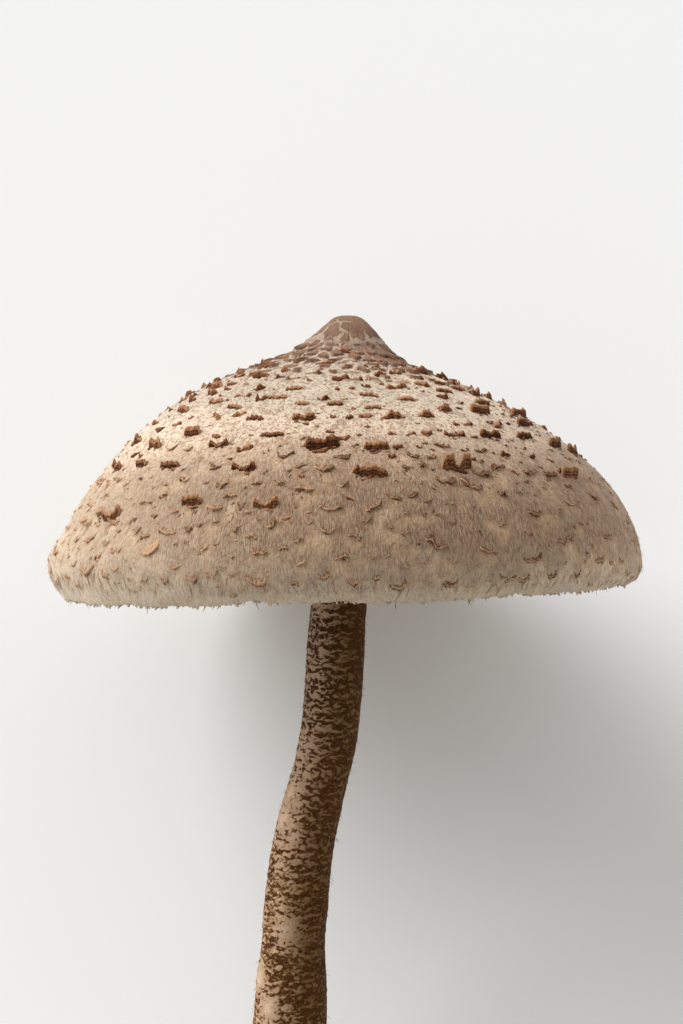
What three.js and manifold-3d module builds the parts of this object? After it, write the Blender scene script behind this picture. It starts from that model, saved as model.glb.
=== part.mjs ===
// A parasol mushroom, picked whole and laid on its side: cap, gills, stem and ring.
//
// Millimetres, +Z up. The mushroom is modelled as it grows, with the cap's axis on +Z and the cap's
// widest level at z = 0. Then it is laid down: the axis turns towards +Y, the cap's margin and the
// bulb each rest on a small flat spot, and the origin is the middle of the box, on the ground.
// An azimuth is measured about the cap's axis from +X towards +Y, so the side of the cap that ends
// up on top lies at azimuth -90 degrees and the side on the ground at +90 degrees.

import * as THREE from 'three';
import Module from 'manifold-3d';
import { mergeVertices } from 'three/addons/utils/BufferGeometryUtils.js';

const wasm = await Module();
wasm.setup();

// Cap, outside: a rounded dome with a low umbo, and a margin that curls in below the widest level.
const CAP_RADIUS = 70;
const DOME_HEIGHT = 49.7;
const DOME_POWER = 1.74;
const UMBO_HEIGHT = 9.8;
const UMBO_RADIUS = 9;
const UMBO_POWER = 4;
const UMBO_LEAN = 0.5;              // the umbo leans this far towards +X
const CROWN_ROUND = 0.55;           // the crown round the umbo's tip lies this much lower
const SHOULDER_DIP = 1.1;           // the crown's shoulder sits this much lower towards +X
const FLANK_DIP = 2.3;              // the side towards -X is pressed in this far above the widest level
const MARGIN_DROP = 7.4;
const MARGIN_INCURL = 4;
const MARGIN_RISE = 1.2;            // the margin sits this much higher towards +X
const MARGIN_LIFT = 1;              // and is drawn up this much towards -X
const EDGE_WAVE = 0.5;              // slow waves of the margin's edge
const EDGE_TOOTH = 0.7;             // how far every other column of the edge hangs
const EDGE_NOTCH = -0.3;            // and the columns between them
const CAP_COLUMNS = 48;
const CAP_RINGS = [3.5, 7, 10, 13.5, 18, 24, 31, 39, 47, 55, 63, 71, 78, 84, 90, 95, 99.5];

// Cap flesh: thick over the stem and thin at the margin, with a socket for the stem's top.
const FLESH_CENTRE = 8;
const FLESH_MARGIN = 2;
const FLESH_TAPER = 2;
const SOCKET_RADIUS = 7.6;
const SOCKET_DEPTH = 3.8;

// Gills: long ones from near the stem to the margin, and a short one between each two.
const GILL_COUNT = 56;
const GILL_DEPTH = 12;
const GILL_START_DEPTH = 0.35;      // at the collar round the stem
const GILL_SWELL = 7;               // how soon the gills reach their depth
const GILL_EDGE = 0.6;              // thickness at the free edge
const GILL_FOOT = 0.76;             // thickness where it leaves the flesh
const GILL_FELT = 0.8;              // skin that joins the gills' feet
const GILL_SHARES = [0.125, 0.165, 0.27, 0.45, 0.65, 0.85, 1.05, 1.4];  // rows along a gill
const SHORT_FROM = 3;               // the first row that the short gills reach
const SHORT_GILL_SHARE = 0.72;      // depth of a short gill against a long one
const GILL_GAP = 0.5;               // between the felt and the flesh above it

// Stem: stations of height, sideways offset and radius, from the top in the cap to the bulb.
const STEM_STATIONS = [
  [44.2, 0, 5.0], [42.6, 0, 6.3], [38, 0, 6.5], [20, -0.5, 6.4], [0, -1.0, 6.5], [-10, -1.4, 6.65],
  [-20, -2.1, 6.9], [-32, -2.9, 6.9], [-44, -4.6, 6.9], [-56, -7.7, 7.15], [-68, -10.1, 7.5],
  [-80, -11.5, 7.6], [-90, -12.4, 7.5], [-98, -12.7, 8.3], [-108, -13.0, 8.9], [-124, -12.9, 9.6],
  [-137, -12.3, 11.1], [-145, -11.8, 13.7], [-152, -11.5, 16.4], [-159, -11.3, 17.5],
  [-165.5, -11.2, 16.4], [-170, -11.2, 13.2], [-172.6, -11.2, 8.4], [-173.6, -11.2, 4],
];
const STEM_SIDES = 20;
const STEM_ROWS = 46;
const BAND_PITCH = 7.2;             // spacing of the stem's raised zigzag bands
const BAND_RELIEF = 0.3;

// Ring: a thick double-edged collar, loose round the stem inside the bell of the cap.
const RING_LEVEL = 3;
const RING_OFFSET = -0.6;           // sideways, as the stem's own offset just above the ring
const RING_GAP = 0.45;
const RING_COLUMNS = 28;
const RING_FRAY = 0.5;
const RING_BORE = 6.5 + RING_GAP;
// Radius, height over the ring's level, and how much a corner is frayed.
const RING_SECTION = [
  [RING_BORE, 0, 0], [8.8, -0.3, 0], [12.4, 0.5, 0.3], [14.2, 1.8, 1], [13.4, 2.8, 1], [10.6, 3.1, 0],
  [12.6, 4.6, 0.3], [15.2, 6.8, 1], [14.5, 7.7, 1], [10.8, 6.7, 0], [8.7, 8.4, 0], [RING_BORE, 9.2, 0],
];

// Lying: the cap's axis rises by this angle, and the cap's margin sinks this far into its flat spot.
const LYING_TILT = THREE.MathUtils.degToRad(18);
const CAP_FLAT_DEPTH = 1.1;
const GROUND_SIZE = 900;

// The largest scales, placed one by one: azimuth in degrees, distance from the apex along the cap,
// width, and how far the scale stands out.
const LARGE_SCALES = [
  [-95, 66, 9, 3.0], [-66, 72, 9, 3.4], [-34, 74, 8, 2.8], [-85, 74, 9, 2.5], [-105, 82, 7, 2.5],
  [-132, 61, 6, 2.6], [-121, 65, 6, 2.2], [-132, 71, 7, 2.0], [-112, 72, 7, 2.0], [-121, 81, 6, 2.2],
  [-143, 84, 7, 2.4], [-101, 56, 7, 2.2], [-76, 60, 8, 1.8], [-77, 54, 7, 2.4], [-144, 64, 6, 2.4],
  [-159, 62, 6, 2.8], [-59, 51, 6, 2.6], [-45, 51, 7, 2.4], [-51, 61, 7, 2.4], [-27, 64, 7, 2.6],
  [-18, 66, 7, 2.6], [-157, 70, 7, 2.3], [-67, 54, 6, 2.4], [-115, 56, 6, 2.0],
];
const LARGE_REACH = 3.6;
const LARGE_LEAN = -0.3;

// The other scales, zone by zone out from the umbo: flat plates, raised ragged scales, thin lips.
const SCALE_ZONES = [
  { from: 12, to: 27, count: 34, width: 6.8, lift: 0.9, reach: 4.2, lean: 0.6 },
  { from: 29, to: 66, count: 72, width: 6.8, lift: 1.8, reach: 3.2, lean: -0.4 },
  { from: 68, to: 98, count: 48, width: 9, lift: 1.2, reach: 5.0, lean: 0.6 },
];
const SCALE_SPACING = 6.5;          // a ruled scale keeps this far from a large one
const SCALE_ROOT = 1.0;             // depth of a scale's root in the flesh
const SCALE_TIP = 0.5;              // depth of its two pointed ends
const SCALE_BOW = 0.28;             // how far its ends turn back, against its width
const SCALE_FOOT = 0.7;             // how far its steep face goes past its crest's line
const CREST_PEAKS = [-0.45, 0.45];  // places of the crest's peaks in half widths
const WIDE_CREST_PEAKS = [-0.6, 0, 0.6];
const WIDE_SCALE = 8.5;             // from this width on a scale's crest has three peaks
const GROUND_SIDE_CLEAR = 14;       // no scales this near the middle of the flat spot
const GROUND_SIDE_FROM = 84;        // nor from this distance on
const GOLDEN_ANGLE = 137.508;

/** Repeatable draws between 0 and 1. */
function drawsFrom(seed) {
  let state = seed;
  return () => {
    state = (state * 16807) % 2147483647;
    return state / 2147483647;
  };
}

/** Closed mesh data from a list of points and a list of corner triples, facing out. */
function closedGeometry(points, triangles) {
  const volume = triangles.reduce((sum, [a, b, c]) => {
    return sum + points[a].dot(new THREE.Vector3().crossVectors(points[b], points[c]));
  }, 0);
  const corners = volume > 0 ? triangles : triangles.map(([a, b, c]) => [a, c, b]);
  const geometry = new THREE.BufferGeometry();
  geometry.setFromPoints(points);
  geometry.setIndex(corners.flat());
  return geometry;
}

/** A skin through rings of equally many points, closed by a point at each end. */
function skinOfRings(startPole, rings, endPole) {
  const columns = rings[0].length;
  const points = [startPole, ...rings.flat(), endPole];
  const triangles = [];
  const at = (row, column) => 1 + row * columns + (column % columns);
  for (let column = 0; column < columns; column += 1) {
    triangles.push([0, at(0, column), at(0, column + 1)]);
    triangles.push([points.length - 1, at(rings.length - 1, column + 1), at(rings.length - 1, column)]);
    for (let row = 0; row + 1 < rings.length; row += 1) {
      triangles.push([at(row, column), at(row + 1, column), at(row + 1, column + 1)]);
      triangles.push([at(row, column), at(row + 1, column + 1), at(row, column + 1)]);
    }
  }
  return closedGeometry(points, triangles);
}

/** The point at a radius, azimuth and height about the cap's axis. */
function polar(radius, azimuth, height) {
  return new THREE.Vector3(radius * Math.cos(azimuth), radius * Math.sin(azimuth), height);
}

/** A three.js geometry as a solid that can be joined and cut. */
function solidFrom(geometry) {
  const bare = geometry.clone();
  bare.deleteAttribute('normal');
  bare.deleteAttribute('uv');
  const merged = mergeVertices(bare, 1e-4);
  return new wasm.Manifold(new wasm.Mesh({
    numProp: 3,
    vertProperties: new Float32Array(merged.attributes.position.array),
    triVerts: new Uint32Array(merged.index.array),
  }));
}

/** A joined and cut solid as a three.js geometry. */
function geometryFrom(solid) {
  const mesh = solid.getMesh();
  const geometry = new THREE.BufferGeometry();
  geometry.setAttribute('position', new THREE.Float32BufferAttribute(mesh.vertProperties, 3));
  geometry.setIndex(Array.from(mesh.triVerts));
  return geometry;
}

// Cap section

/** The cap's outside at a share w: 0 at the axis, 1 at the widest level, 2 at the margin's edge. */
function capSection(w) {
  if (w > 1) {
    const down = w - 1;
    const normal = new THREE.Vector2(MARGIN_DROP, -2 * MARGIN_INCURL * down).normalize();
    return {
      r: CAP_RADIUS - MARGIN_INCURL * down * down,
      z: -MARGIN_DROP * down,
      normal,
      flesh: FLESH_MARGIN * (1 - 0.25 * down),
    };
  }
  const angle = w * Math.PI / 2;
  const r = CAP_RADIUS * Math.sin(angle) ** (2 / DOME_POWER);
  const z = DOME_HEIGHT * Math.max(Math.cos(angle), 0) ** (2 / DOME_POWER);
  const normal = new THREE.Vector2(
    (r / CAP_RADIUS) ** (DOME_POWER - 1) / CAP_RADIUS,
    (z / DOME_HEIGHT) ** (DOME_POWER - 1) / DOME_HEIGHT,
  ).normalize();
  const thickening = Math.max(Math.cos(angle), 0) ** FLESH_TAPER;
  const flesh = FLESH_MARGIN + (FLESH_CENTRE - FLESH_MARGIN) * thickening;
  return { r, z, normal, flesh };
}

/** Height that the umbo adds to the dome at radius r. */
function umbo(r) {
  return UMBO_HEIGHT / (1 + (r / UMBO_RADIUS) ** UMBO_POWER);
}

/** Radius and height of the surface that lies a depth below the cap's underside, at share w. */
function underCap(w, depth) {
  const { r, z, normal, flesh } = capSection(w);
  return { r: r - normal.x * (flesh + depth), z: z - normal.y * (flesh + depth) };
}

/** A value's smooth step from 0 at the low limit to 1 at the high one. */
const { smoothstep } = THREE.MathUtils;

/** Lift of the margin at an azimuth: highest towards +X, with its edge drawn up towards -X. */
function marginRise(azimuth, w) {
  const drawnUp = MARGIN_LIFT * Math.max(0, -Math.cos(azimuth)) ** 2 * smoothstep(w, 1, 1.8);
  return MARGIN_RISE * Math.cos(azimuth) * Math.max(0, w - 0.6) ** 2 + drawnUp;
}

/** Drop of the shoulder under the umbo at an azimuth: lowest towards +X. */
function shoulderDip(azimuth, w) {
  const band = smoothstep(w, 0.06, 0.14) * (1 - smoothstep(w, 0.3, 0.75));
  return SHOULDER_DIP * Math.cos(azimuth) * band;
}

/** How far the crown lies below the drawn form: nothing at the umbo's tip. */
function crownRound(w) {
  return CROWN_ROUND * smoothstep(w, 0.02, 0.11) * (1 - smoothstep(w, 0.5, 0.8));
}

/** How far the side is pressed in at an azimuth: most towards -X, nothing at the widest level. */
function flankDip(azimuth, w) {
  const band = smoothstep(w, 0.35, 0.76) * (1 - smoothstep(w, 0.83, 0.97));
  return FLANK_DIP * Math.max(0, -Math.cos(azimuth)) ** 1.5 * band;
}

// The outside by its distance from the apex, so that scales can be spaced along it.
const PROFILE = Array.from({ length: 801 }, (_, step) => {
  const section = capSection(step / 400);
  return new THREE.Vector2(section.r, section.z + umbo(section.r));
});
const PROFILE_LENGTH = [0];
PROFILE.slice(1).forEach((point, step) => {
  PROFILE_LENGTH.push(PROFILE_LENGTH[step] + point.distanceTo(PROFILE[step]));
});

/** The cap's outside at a distance from the apex: share w, radius, height and outward normal. */
function capAt(distance) {
  const step = Math.min(Math.max(PROFILE_LENGTH.findIndex((length) => length > distance), 1), 800);
  const share = (distance - PROFILE_LENGTH[step - 1]) / (PROFILE_LENGTH[step] - PROFILE_LENGTH[step - 1]);
  const point = PROFILE[step - 1].clone().lerp(PROFILE[step], share);
  const along = PROFILE[step].clone().sub(PROFILE[step - 1]).normalize();
  const normal = new THREE.Vector2(-along.y, along.x);
  return { w: (step - 1 + share) / 400, r: point.x, z: point.y, normal };
}

/** A point a height above the cap's outside, at an azimuth and a distance from the apex. */
function onCap(azimuth, distance, height) {
  const { w, r, z, normal } = capAt(distance);
  const level = z + marginRise(azimuth, w) - shoulderDip(azimuth, w);
  const out = height - flankDip(azimuth, w) - crownRound(w);
  const point = polar(r + normal.x * out, azimuth, level + normal.y * out);
  point.x += UMBO_LEAN * (1 - smoothstep(w, 0.14, 0.34));
  return point;
}

// Scales

/**
 * One scale: a ridge bent like a smile across the cap, with a ragged crest that stands out from the
 * surface, a slope on its upper side and a steep face on its lower side. It ends in a point at each
 * side, and its root is in the flesh.
 */
function scaleGeometry([azimuth, distance, width, lift, reach, lean], draw) {
  const place = (side, along, height) => {
    const turn = THREE.MathUtils.degToRad(azimuth) + side * width / 2 / capAt(distance).r;
    return onCap(turn, distance - SCALE_BOW * width * side * side + along, height);
  };
  const inner = width < WIDE_SCALE ? CREST_PEAKS : WIDE_CREST_PEAKS;
  const points = inner.flatMap((side) => {
    const crest = lift * (0.7 + 0.6 * draw());
    return [
      place(side, -reach, -SCALE_ROOT),
      place(side, lean * lift, crest),
      place(side, SCALE_FOOT, -SCALE_ROOT),
    ];
  });
  const triangles = [];
  for (let column = 0; column + 1 < inner.length; column += 1) {
    for (let corner = 0; corner < 3; corner += 1) {
      const a = column * 3 + corner;
      const b = column * 3 + (corner + 1) % 3;
      triangles.push([a, a + 3, b], [b, a + 3, b + 3]);
    }
  }
  const last = points.length - 3;
  const left = points.push(place(-1, 0, -SCALE_TIP)) - 1;
  const right = points.push(place(1, 0, -SCALE_TIP)) - 1;
  triangles.push([left, 0, 1], [left, 1, 2], [left, 2, 0]);
  triangles.push([right, last + 1, last], [right, last + 2, last + 1], [right, last, last + 2]);
  return closedGeometry(points, triangles);
}

/** Whether a scale would lie on the flat spot that the cap rests on. */
function onGroundSide(azimuth, distance) {
  const sideways = THREE.MathUtils.degToRad(azimuth - 90);
  const acrossFlat = CAP_RADIUS * Math.atan2(Math.sin(sideways), Math.cos(sideways));
  return Math.abs(acrossFlat) < GROUND_SIDE_CLEAR && distance > GROUND_SIDE_FROM;
}

/** Every scale: the large ones, and zone by zone the ones on a golden-angle spiral between them. */
function scalePlaces(draw) {
  const places = LARGE_SCALES.map((scale) => [...scale, LARGE_REACH, LARGE_LEAN]);
  SCALE_ZONES.forEach(({ from, to, count, width, lift, reach, lean }) => {
    for (let index = 0; index < count; index += 1) {
      const share = (index + 0.5) / count;
      const distance = Math.sqrt(from ** 2 + share * (to ** 2 - from ** 2)) + 2 * (draw() - 0.5);
      const azimuth = (index * GOLDEN_ANGLE + 14 * (draw() - 0.5)) % 360;
      const size = 0.75 + 0.5 * draw();
      const clear = LARGE_SCALES.every(([otherAzimuth, otherDistance]) => {
        return onCap(THREE.MathUtils.degToRad(azimuth), distance, 0)
          .distanceTo(onCap(THREE.MathUtils.degToRad(otherAzimuth), otherDistance, 0)) > SCALE_SPACING;
      });
      if (clear && !onGroundSide(azimuth, distance)) {
        places.push([azimuth, distance, width * size, lift * size, reach, lean]);
      }
    }
  });
  return places;
}

// Cap

/** The bare cap: outside from apex to margin, then the underside back to the socket. */
function bareCap(draw) {
  const azimuths = Array.from({ length: CAP_COLUMNS }, (_, column) => 2 * Math.PI * column / CAP_COLUMNS);
  const teeth = azimuths.map((azimuth, column) => {
    const tooth = column % 2 ? EDGE_TOOTH : EDGE_NOTCH;
    return EDGE_WAVE * Math.sin(5 * azimuth + 1) + tooth * (0.5 + draw());
  });
  const rings = CAP_RINGS.map((distance) => azimuths.map((azimuth) => onCap(azimuth, distance, 0)));
  const ring = (w, depth, hang) => azimuths.map((azimuth, column) => {
    const { r, z, normal } = capSection(w);
    const level = z + marginRise(azimuth, w) - hang * teeth[column];
    const inside = depth + flankDip(azimuth, w);
    return polar(r - normal.x * inside, azimuth, level - normal.y * inside);
  });
  rings.push(ring(1.92, 0.25, 1), ring(1.96, 1.15, 1));
  [1.8, ...GILL_SHARES.toReversed()].forEach((w) => {
    rings.push(ring(w, capSection(w).flesh, 0));
  });
  const floor = underCap(0.1, 0).z;
  rings.push(azimuths.map((azimuth) => polar(SOCKET_RADIUS + 0.5, azimuth, floor)));
  rings.push(azimuths.map((azimuth) => polar(SOCKET_RADIUS, azimuth, floor + SOCKET_DEPTH)));
  const apex = new THREE.Vector3(UMBO_LEAN, 0, DOME_HEIGHT + UMBO_HEIGHT);
  return skinOfRings(apex, rings, new THREE.Vector3(0, 0, floor + SOCKET_DEPTH));
}

/** The cap with its scales grown on, and the flat spot it rests on. */
function capSolid(ground) {
  const draw = drawsFrom(20231);
  let solid = solidFrom(bareCap(draw));
  scalePlaces(draw).forEach((place) => {
    solid = solid.add(solidFrom(scaleGeometry(place, draw)));
  });
  return geometryFrom(solid.subtract(ground));
}

// Gills

/** How deep the long gills hang at share w: nothing at the collar, deepest a third of the way out. */
function gillDepth(w, first, last) {
  const out = (w - first) / (last - first);
  const swelling = Math.min(1, Math.sqrt(out * GILL_SWELL));
  return GILL_START_DEPTH + (GILL_DEPTH - GILL_START_DEPTH) * swelling * (1 - out) ** 0.75;
}

/**
 * The gill layer as one body: a thin felt under the flesh that rises into a blade at each gill. A
 * row of corners runs round the cap at each share w, four corners to a gill, and the rows past
 * SHORT_FROM have four more for each short gill.
 */
function gillGeometry() {
  const first = GILL_SHARES[0];
  const last = GILL_SHARES[GILL_SHARES.length - 1];
  const points = [];
  const triangles = [];
  const add = (point) => points.push(point) - 1;
  const blade = (w, azimuth, depth) => {
    const foot = underCap(w, GILL_GAP + GILL_FELT + flankDip(azimuth, w));
    const edge = underCap(w, GILL_GAP + GILL_FELT + depth);
    const corner = ({ r, z }, offset) => add(
      polar(Math.hypot(r, offset), azimuth + Math.asin(offset / r), z + marginRise(azimuth, w)),
    );
    return [
      corner(foot, -GILL_FOOT / 2), corner(edge, -GILL_EDGE / 2),
      corner(edge, GILL_EDGE / 2), corner(foot, GILL_FOOT / 2),
    ];
  };
  const turn = 2 * Math.PI / GILL_COUNT;
  const rows = GILL_SHARES.map((w, row) => {
    const depth = gillDepth(w, first, last);
    return Array.from({ length: GILL_COUNT }, (_, gill) => {
      const long = blade(w, gill * turn, depth);
      const started = Math.min(1, (row - SHORT_FROM + 0.3) / 1.3);
      const short = row < SHORT_FROM ? [] : blade(w, (gill + 0.5) * turn, depth * SHORT_GILL_SHARE * started);
      return [long, short];
    });
  });
  const backs = GILL_SHARES.map((w) => Array.from({ length: GILL_COUNT }, (_, gill) => {
    const back = underCap(w, GILL_GAP + flankDip(gill * turn, w));
    return add(polar(back.r, gill * turn, back.z + marginRise(gill * turn, w)));
  }));
  const quad = (a, b, c, d) => triangles.push([a, b, c], [a, c, d]);
  const strip = (near, far) => {
    for (let corner = 0; corner + 1 < near.length; corner += 1) {
      quad(near[corner], far[corner], far[corner + 1], near[corner + 1]);
    }
  };
  const fan = (hub, chain) => {
    for (let corner = 0; corner + 1 < chain.length; corner += 1) {
      triangles.push([hub, chain[corner], chain[corner + 1]]);
    }
  };
  for (let gill = 0; gill < GILL_COUNT; gill += 1) {
    const next = (gill + 1) % GILL_COUNT;
    for (let row = 0; row + 1 < GILL_SHARES.length; row += 1) {
      const [long, short] = rows[row][gill];
      const [farLong, farShort] = rows[row + 1][gill];
      const start = rows[row][next][0][0];
      const farStart = rows[row + 1][next][0][0];
      if (row + 1 === SHORT_FROM) {
        strip(long, farLong);
        fan(long[3], [farLong[3], farShort[0], farShort[1], farShort[2]]);
        triangles.push([long[3], farShort[2], start]);
        fan(start, [farShort[2], farShort[3], farStart]);
      } else {
        strip([...long, ...short, start], [...farLong, ...farShort, farStart]);
      }
      quad(backs[row][gill], backs[row][next], backs[row + 1][next], backs[row + 1][gill]);
    }
    const inner = rows[0][gill][0];
    const innerStart = rows[0][next][0][0];
    fan(backs[0][gill], inner);
    triangles.push([backs[0][gill], inner[3], innerStart], [backs[0][gill], innerStart, backs[0][next]]);
    const [outer, outerShort] = rows[GILL_SHARES.length - 1][gill];
    const outerStart = rows[GILL_SHARES.length - 1][next][0][0];
    const hub = backs[GILL_SHARES.length - 1][gill];
    const nextHub = backs[GILL_SHARES.length - 1][next];
    const flip = (list) => list.reverse();
    fan(hub, flip([...outer, outerShort[0], outerShort[1], outerShort[2]]));
    triangles.push([hub, nextHub, outerShort[2]]);
    fan(nextHub, flip([outerShort[2], outerShort[3], outerStart]));
  }
  return closedGeometry(points, triangles);
}

// Stem

const STEM_CURVE = new THREE.CatmullRomCurve3(
  STEM_STATIONS.map(([height, offset, radius]) => new THREE.Vector3(offset, radius, height)),
);

/** Relief of the stem's zigzag bands: raised where rising and falling waves meet. */
function bandRelief(azimuth, height) {
  const zigzag = Math.abs(((5 * azimuth / Math.PI) % 2 + 2) % 2 - 1);
  const fade = smoothstep(-height, 0, 12) * smoothstep(height, -150, -138);
  return BAND_RELIEF * fade * Math.cos(2 * Math.PI * (height / BAND_PITCH + zigzag));
}

/** The stem with its bulb, and the flat spot it rests on. */
function stemSolid(ground) {
  const stations = Array.from({ length: STEM_ROWS }, (_, row) => STEM_CURVE.getPoint(row / (STEM_ROWS - 1)));
  const rings = stations.map(({ x: offset, y: radius, z: height }) => {
    return Array.from({ length: STEM_SIDES }, (_, side) => {
      const azimuth = 2 * Math.PI * side / STEM_SIDES;
      const point = polar(radius + bandRelief(azimuth, height), azimuth, height);
      point.x += offset;
      return point;
    });
  });
  const top = stations[0];
  const foot = stations[STEM_ROWS - 1];
  const skin = skinOfRings(
    new THREE.Vector3(top.x, 0, top.z), rings, new THREE.Vector3(foot.x, 0, foot.z - 0.3),
  );
  return geometryFrom(solidFrom(skin).subtract(ground));
}

// Ring

/** The ring: a closed section with a thick lower lip and a wider upper lip, both frayed. */
function ringGeometry(draw) {
  const points = [];
  const triangles = [];
  for (let column = 0; column < RING_COLUMNS; column += 1) {
    const azimuth = 2 * Math.PI * column / RING_COLUMNS;
    const fray = RING_FRAY * ((column % 2 ? 1 : -1) + 1.2 * (draw() - 0.5));
    RING_SECTION.forEach(([radius, height, frayed]) => {
      const point = polar(radius + fray * frayed, azimuth, RING_LEVEL + height + 0.5 * fray * frayed);
      point.x += RING_OFFSET;
      points.push(point);
    });
    RING_SECTION.forEach((_, corner) => {
      const far = (corner + 1) % RING_SECTION.length;
      const here = column * RING_SECTION.length;
      const next = ((column + 1) % RING_COLUMNS) * RING_SECTION.length;
      triangles.push([here + corner, next + corner, next + far], [here + corner, next + far, here + far]);
    });
  }
  return closedGeometry(points, triangles);
}

// Laying down

/** Height above the ground plane's direction of a point on the side that faces the ground. */
function groundward(radius, height) {
  return height * Math.sin(LYING_TILT) - radius * Math.cos(LYING_TILT);
}

const CAP_LOWEST = Math.min(...PROFILE.map((point) => groundward(point.x, point.y)));
const GROUND_LEVEL = CAP_LOWEST + CAP_FLAT_DEPTH;

const lying = new THREE.Group();
lying.rotation.x = LYING_TILT - Math.PI / 2;
lying.position.z = -GROUND_LEVEL;
lying.updateMatrixWorld();

// Everything below the ground, as the growing mushroom sees it.
const groundBlock = new THREE.BoxGeometry(GROUND_SIZE, GROUND_SIZE, GROUND_SIZE)
  .translate(0, 0, -GROUND_SIZE / 2)
  .applyMatrix4(lying.matrixWorld.clone().invert());
const ground = solidFrom(groundBlock);

const capFlesh = new THREE.MeshStandardMaterial({ color: 0xd8c0a0, roughness: 0.85, metalness: 0 });
const gillFlesh = new THREE.MeshStandardMaterial({ color: 0xf0e6d2, roughness: 0.8, metalness: 0 });
const stemFlesh = new THREE.MeshStandardMaterial({ color: 0xb49a80, roughness: 0.8, metalness: 0 });
const ringFlesh = new THREE.MeshStandardMaterial({ color: 0xe2d3bb, roughness: 0.9, metalness: 0 });

/** A named piece of the mushroom. */
function piece(name, geometry, material) {
  const mesh = new THREE.Mesh(geometry, material);
  mesh.name = name;
  lying.add(mesh);
}

piece('cap', capSolid(ground), capFlesh);
piece('gills', gillGeometry(), gillFlesh);
piece('stem', stemSolid(ground), stemFlesh);
piece('ring', ringGeometry(drawsFrom(771)), ringFlesh);

const mushroom = new THREE.Group();
mushroom.add(lying);
mushroom.updateMatrixWorld(true);
const middle = new THREE.Box3().setFromObject(mushroom, true).getCenter(new THREE.Vector3());
mushroom.position.set(-middle.x, -middle.y, 0);
mushroom.updateMatrixWorld(true);

export default mushroom;
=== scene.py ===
"""A parasol mushroom, picked whole and laid on its side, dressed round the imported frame.

Shapes are worked out on the growing mushroom, in millimetres: the cap's axis on +Z and the cap's
widest level at z = 0. Lying.place turns them into the row's frame, in metres. An azimuth is
measured about the cap's axis from +X towards +Y, so the side that lies on top is at -90 degrees.
A distance is measured along the cap's outside from its apex.
"""

from __future__ import annotations

import logging
import math
from dataclasses import dataclass, field
from enum import Enum

import bpy
import numpy as np
from bpy.types import Material, Node, NodeOutputs, NodeSocket, NodeTree, Object
from mathutils import Matrix, Vector
from numpy.random import Generator, default_rng

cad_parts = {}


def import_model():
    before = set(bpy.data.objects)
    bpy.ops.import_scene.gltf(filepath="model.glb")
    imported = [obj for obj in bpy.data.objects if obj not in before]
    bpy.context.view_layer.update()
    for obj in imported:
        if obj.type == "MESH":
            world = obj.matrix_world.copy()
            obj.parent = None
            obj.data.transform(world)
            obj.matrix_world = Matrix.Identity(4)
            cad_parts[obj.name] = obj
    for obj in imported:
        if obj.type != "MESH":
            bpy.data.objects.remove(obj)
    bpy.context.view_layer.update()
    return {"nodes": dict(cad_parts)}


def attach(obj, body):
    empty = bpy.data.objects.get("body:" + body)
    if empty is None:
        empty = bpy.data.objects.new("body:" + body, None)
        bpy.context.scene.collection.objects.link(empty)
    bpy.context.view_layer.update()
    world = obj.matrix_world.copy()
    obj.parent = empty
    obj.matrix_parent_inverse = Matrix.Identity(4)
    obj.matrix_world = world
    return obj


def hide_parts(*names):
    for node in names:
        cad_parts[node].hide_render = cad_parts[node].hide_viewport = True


Array = np.ndarray
Triple = tuple[float, float, float]
Colour = Triple
Pairs = tuple[tuple[float, float], ...]
Look = tuple[object, object, object]  # sockets or values for colour, roughness and height

LOG = logging.getLogger("parasol")
BODY = "root"
UV_NAME = "surface"
MM = 0.001
TAU = 2 * math.pi
GROUND = math.pi / 2           # azimuth of the side that lies on the ground
LYING_TILT = math.radians(18)  # the cap's axis rises by this angle
UV_UNIT = 100.0                # millimetres along a skin to one unit of its UV map
DOWN = np.array([0, 0, -1.0])


class Slot(Enum):
    """Material slots of the record."""

    CAP = "cap_skin"
    GILLS = "gill_flesh"
    STEM = "stem_skin"
    RING = "ring_felt"


def ease(low: float | Array, high: float | Array, value: Array) -> Array:
    """0 below low, 1 above high, and a smooth rise between them."""
    share = np.clip((value - low) / (high - low), 0, 1)
    return share * share * (3 - 2 * share)


def bump(value: Array, centre: float, width: float) -> Array:
    """A smooth hump of height 1 round centre: exp of minus the squared distance in widths."""
    return np.exp(-((value - centre) / width) ** 2)


def between(at: Array | float, steps: Pairs) -> Array:
    """The value at a place, straight between the steps."""
    return np.interp(at, *np.transpose(steps))


def degrees_apart(azimuth: Array, other: float) -> Array:
    """Signed angle from other to azimuth, both in radians, brought between -pi and pi."""
    return (azimuth - other + math.pi) % TAU - math.pi


def towards(azimuth: Array, side: int) -> Array:
    """How far an azimuth faces +X, for side 1, or -X, for side -1: its cosine, or 0 on the far side."""
    return np.clip(side * np.cos(azimuth), 0, None)


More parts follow.
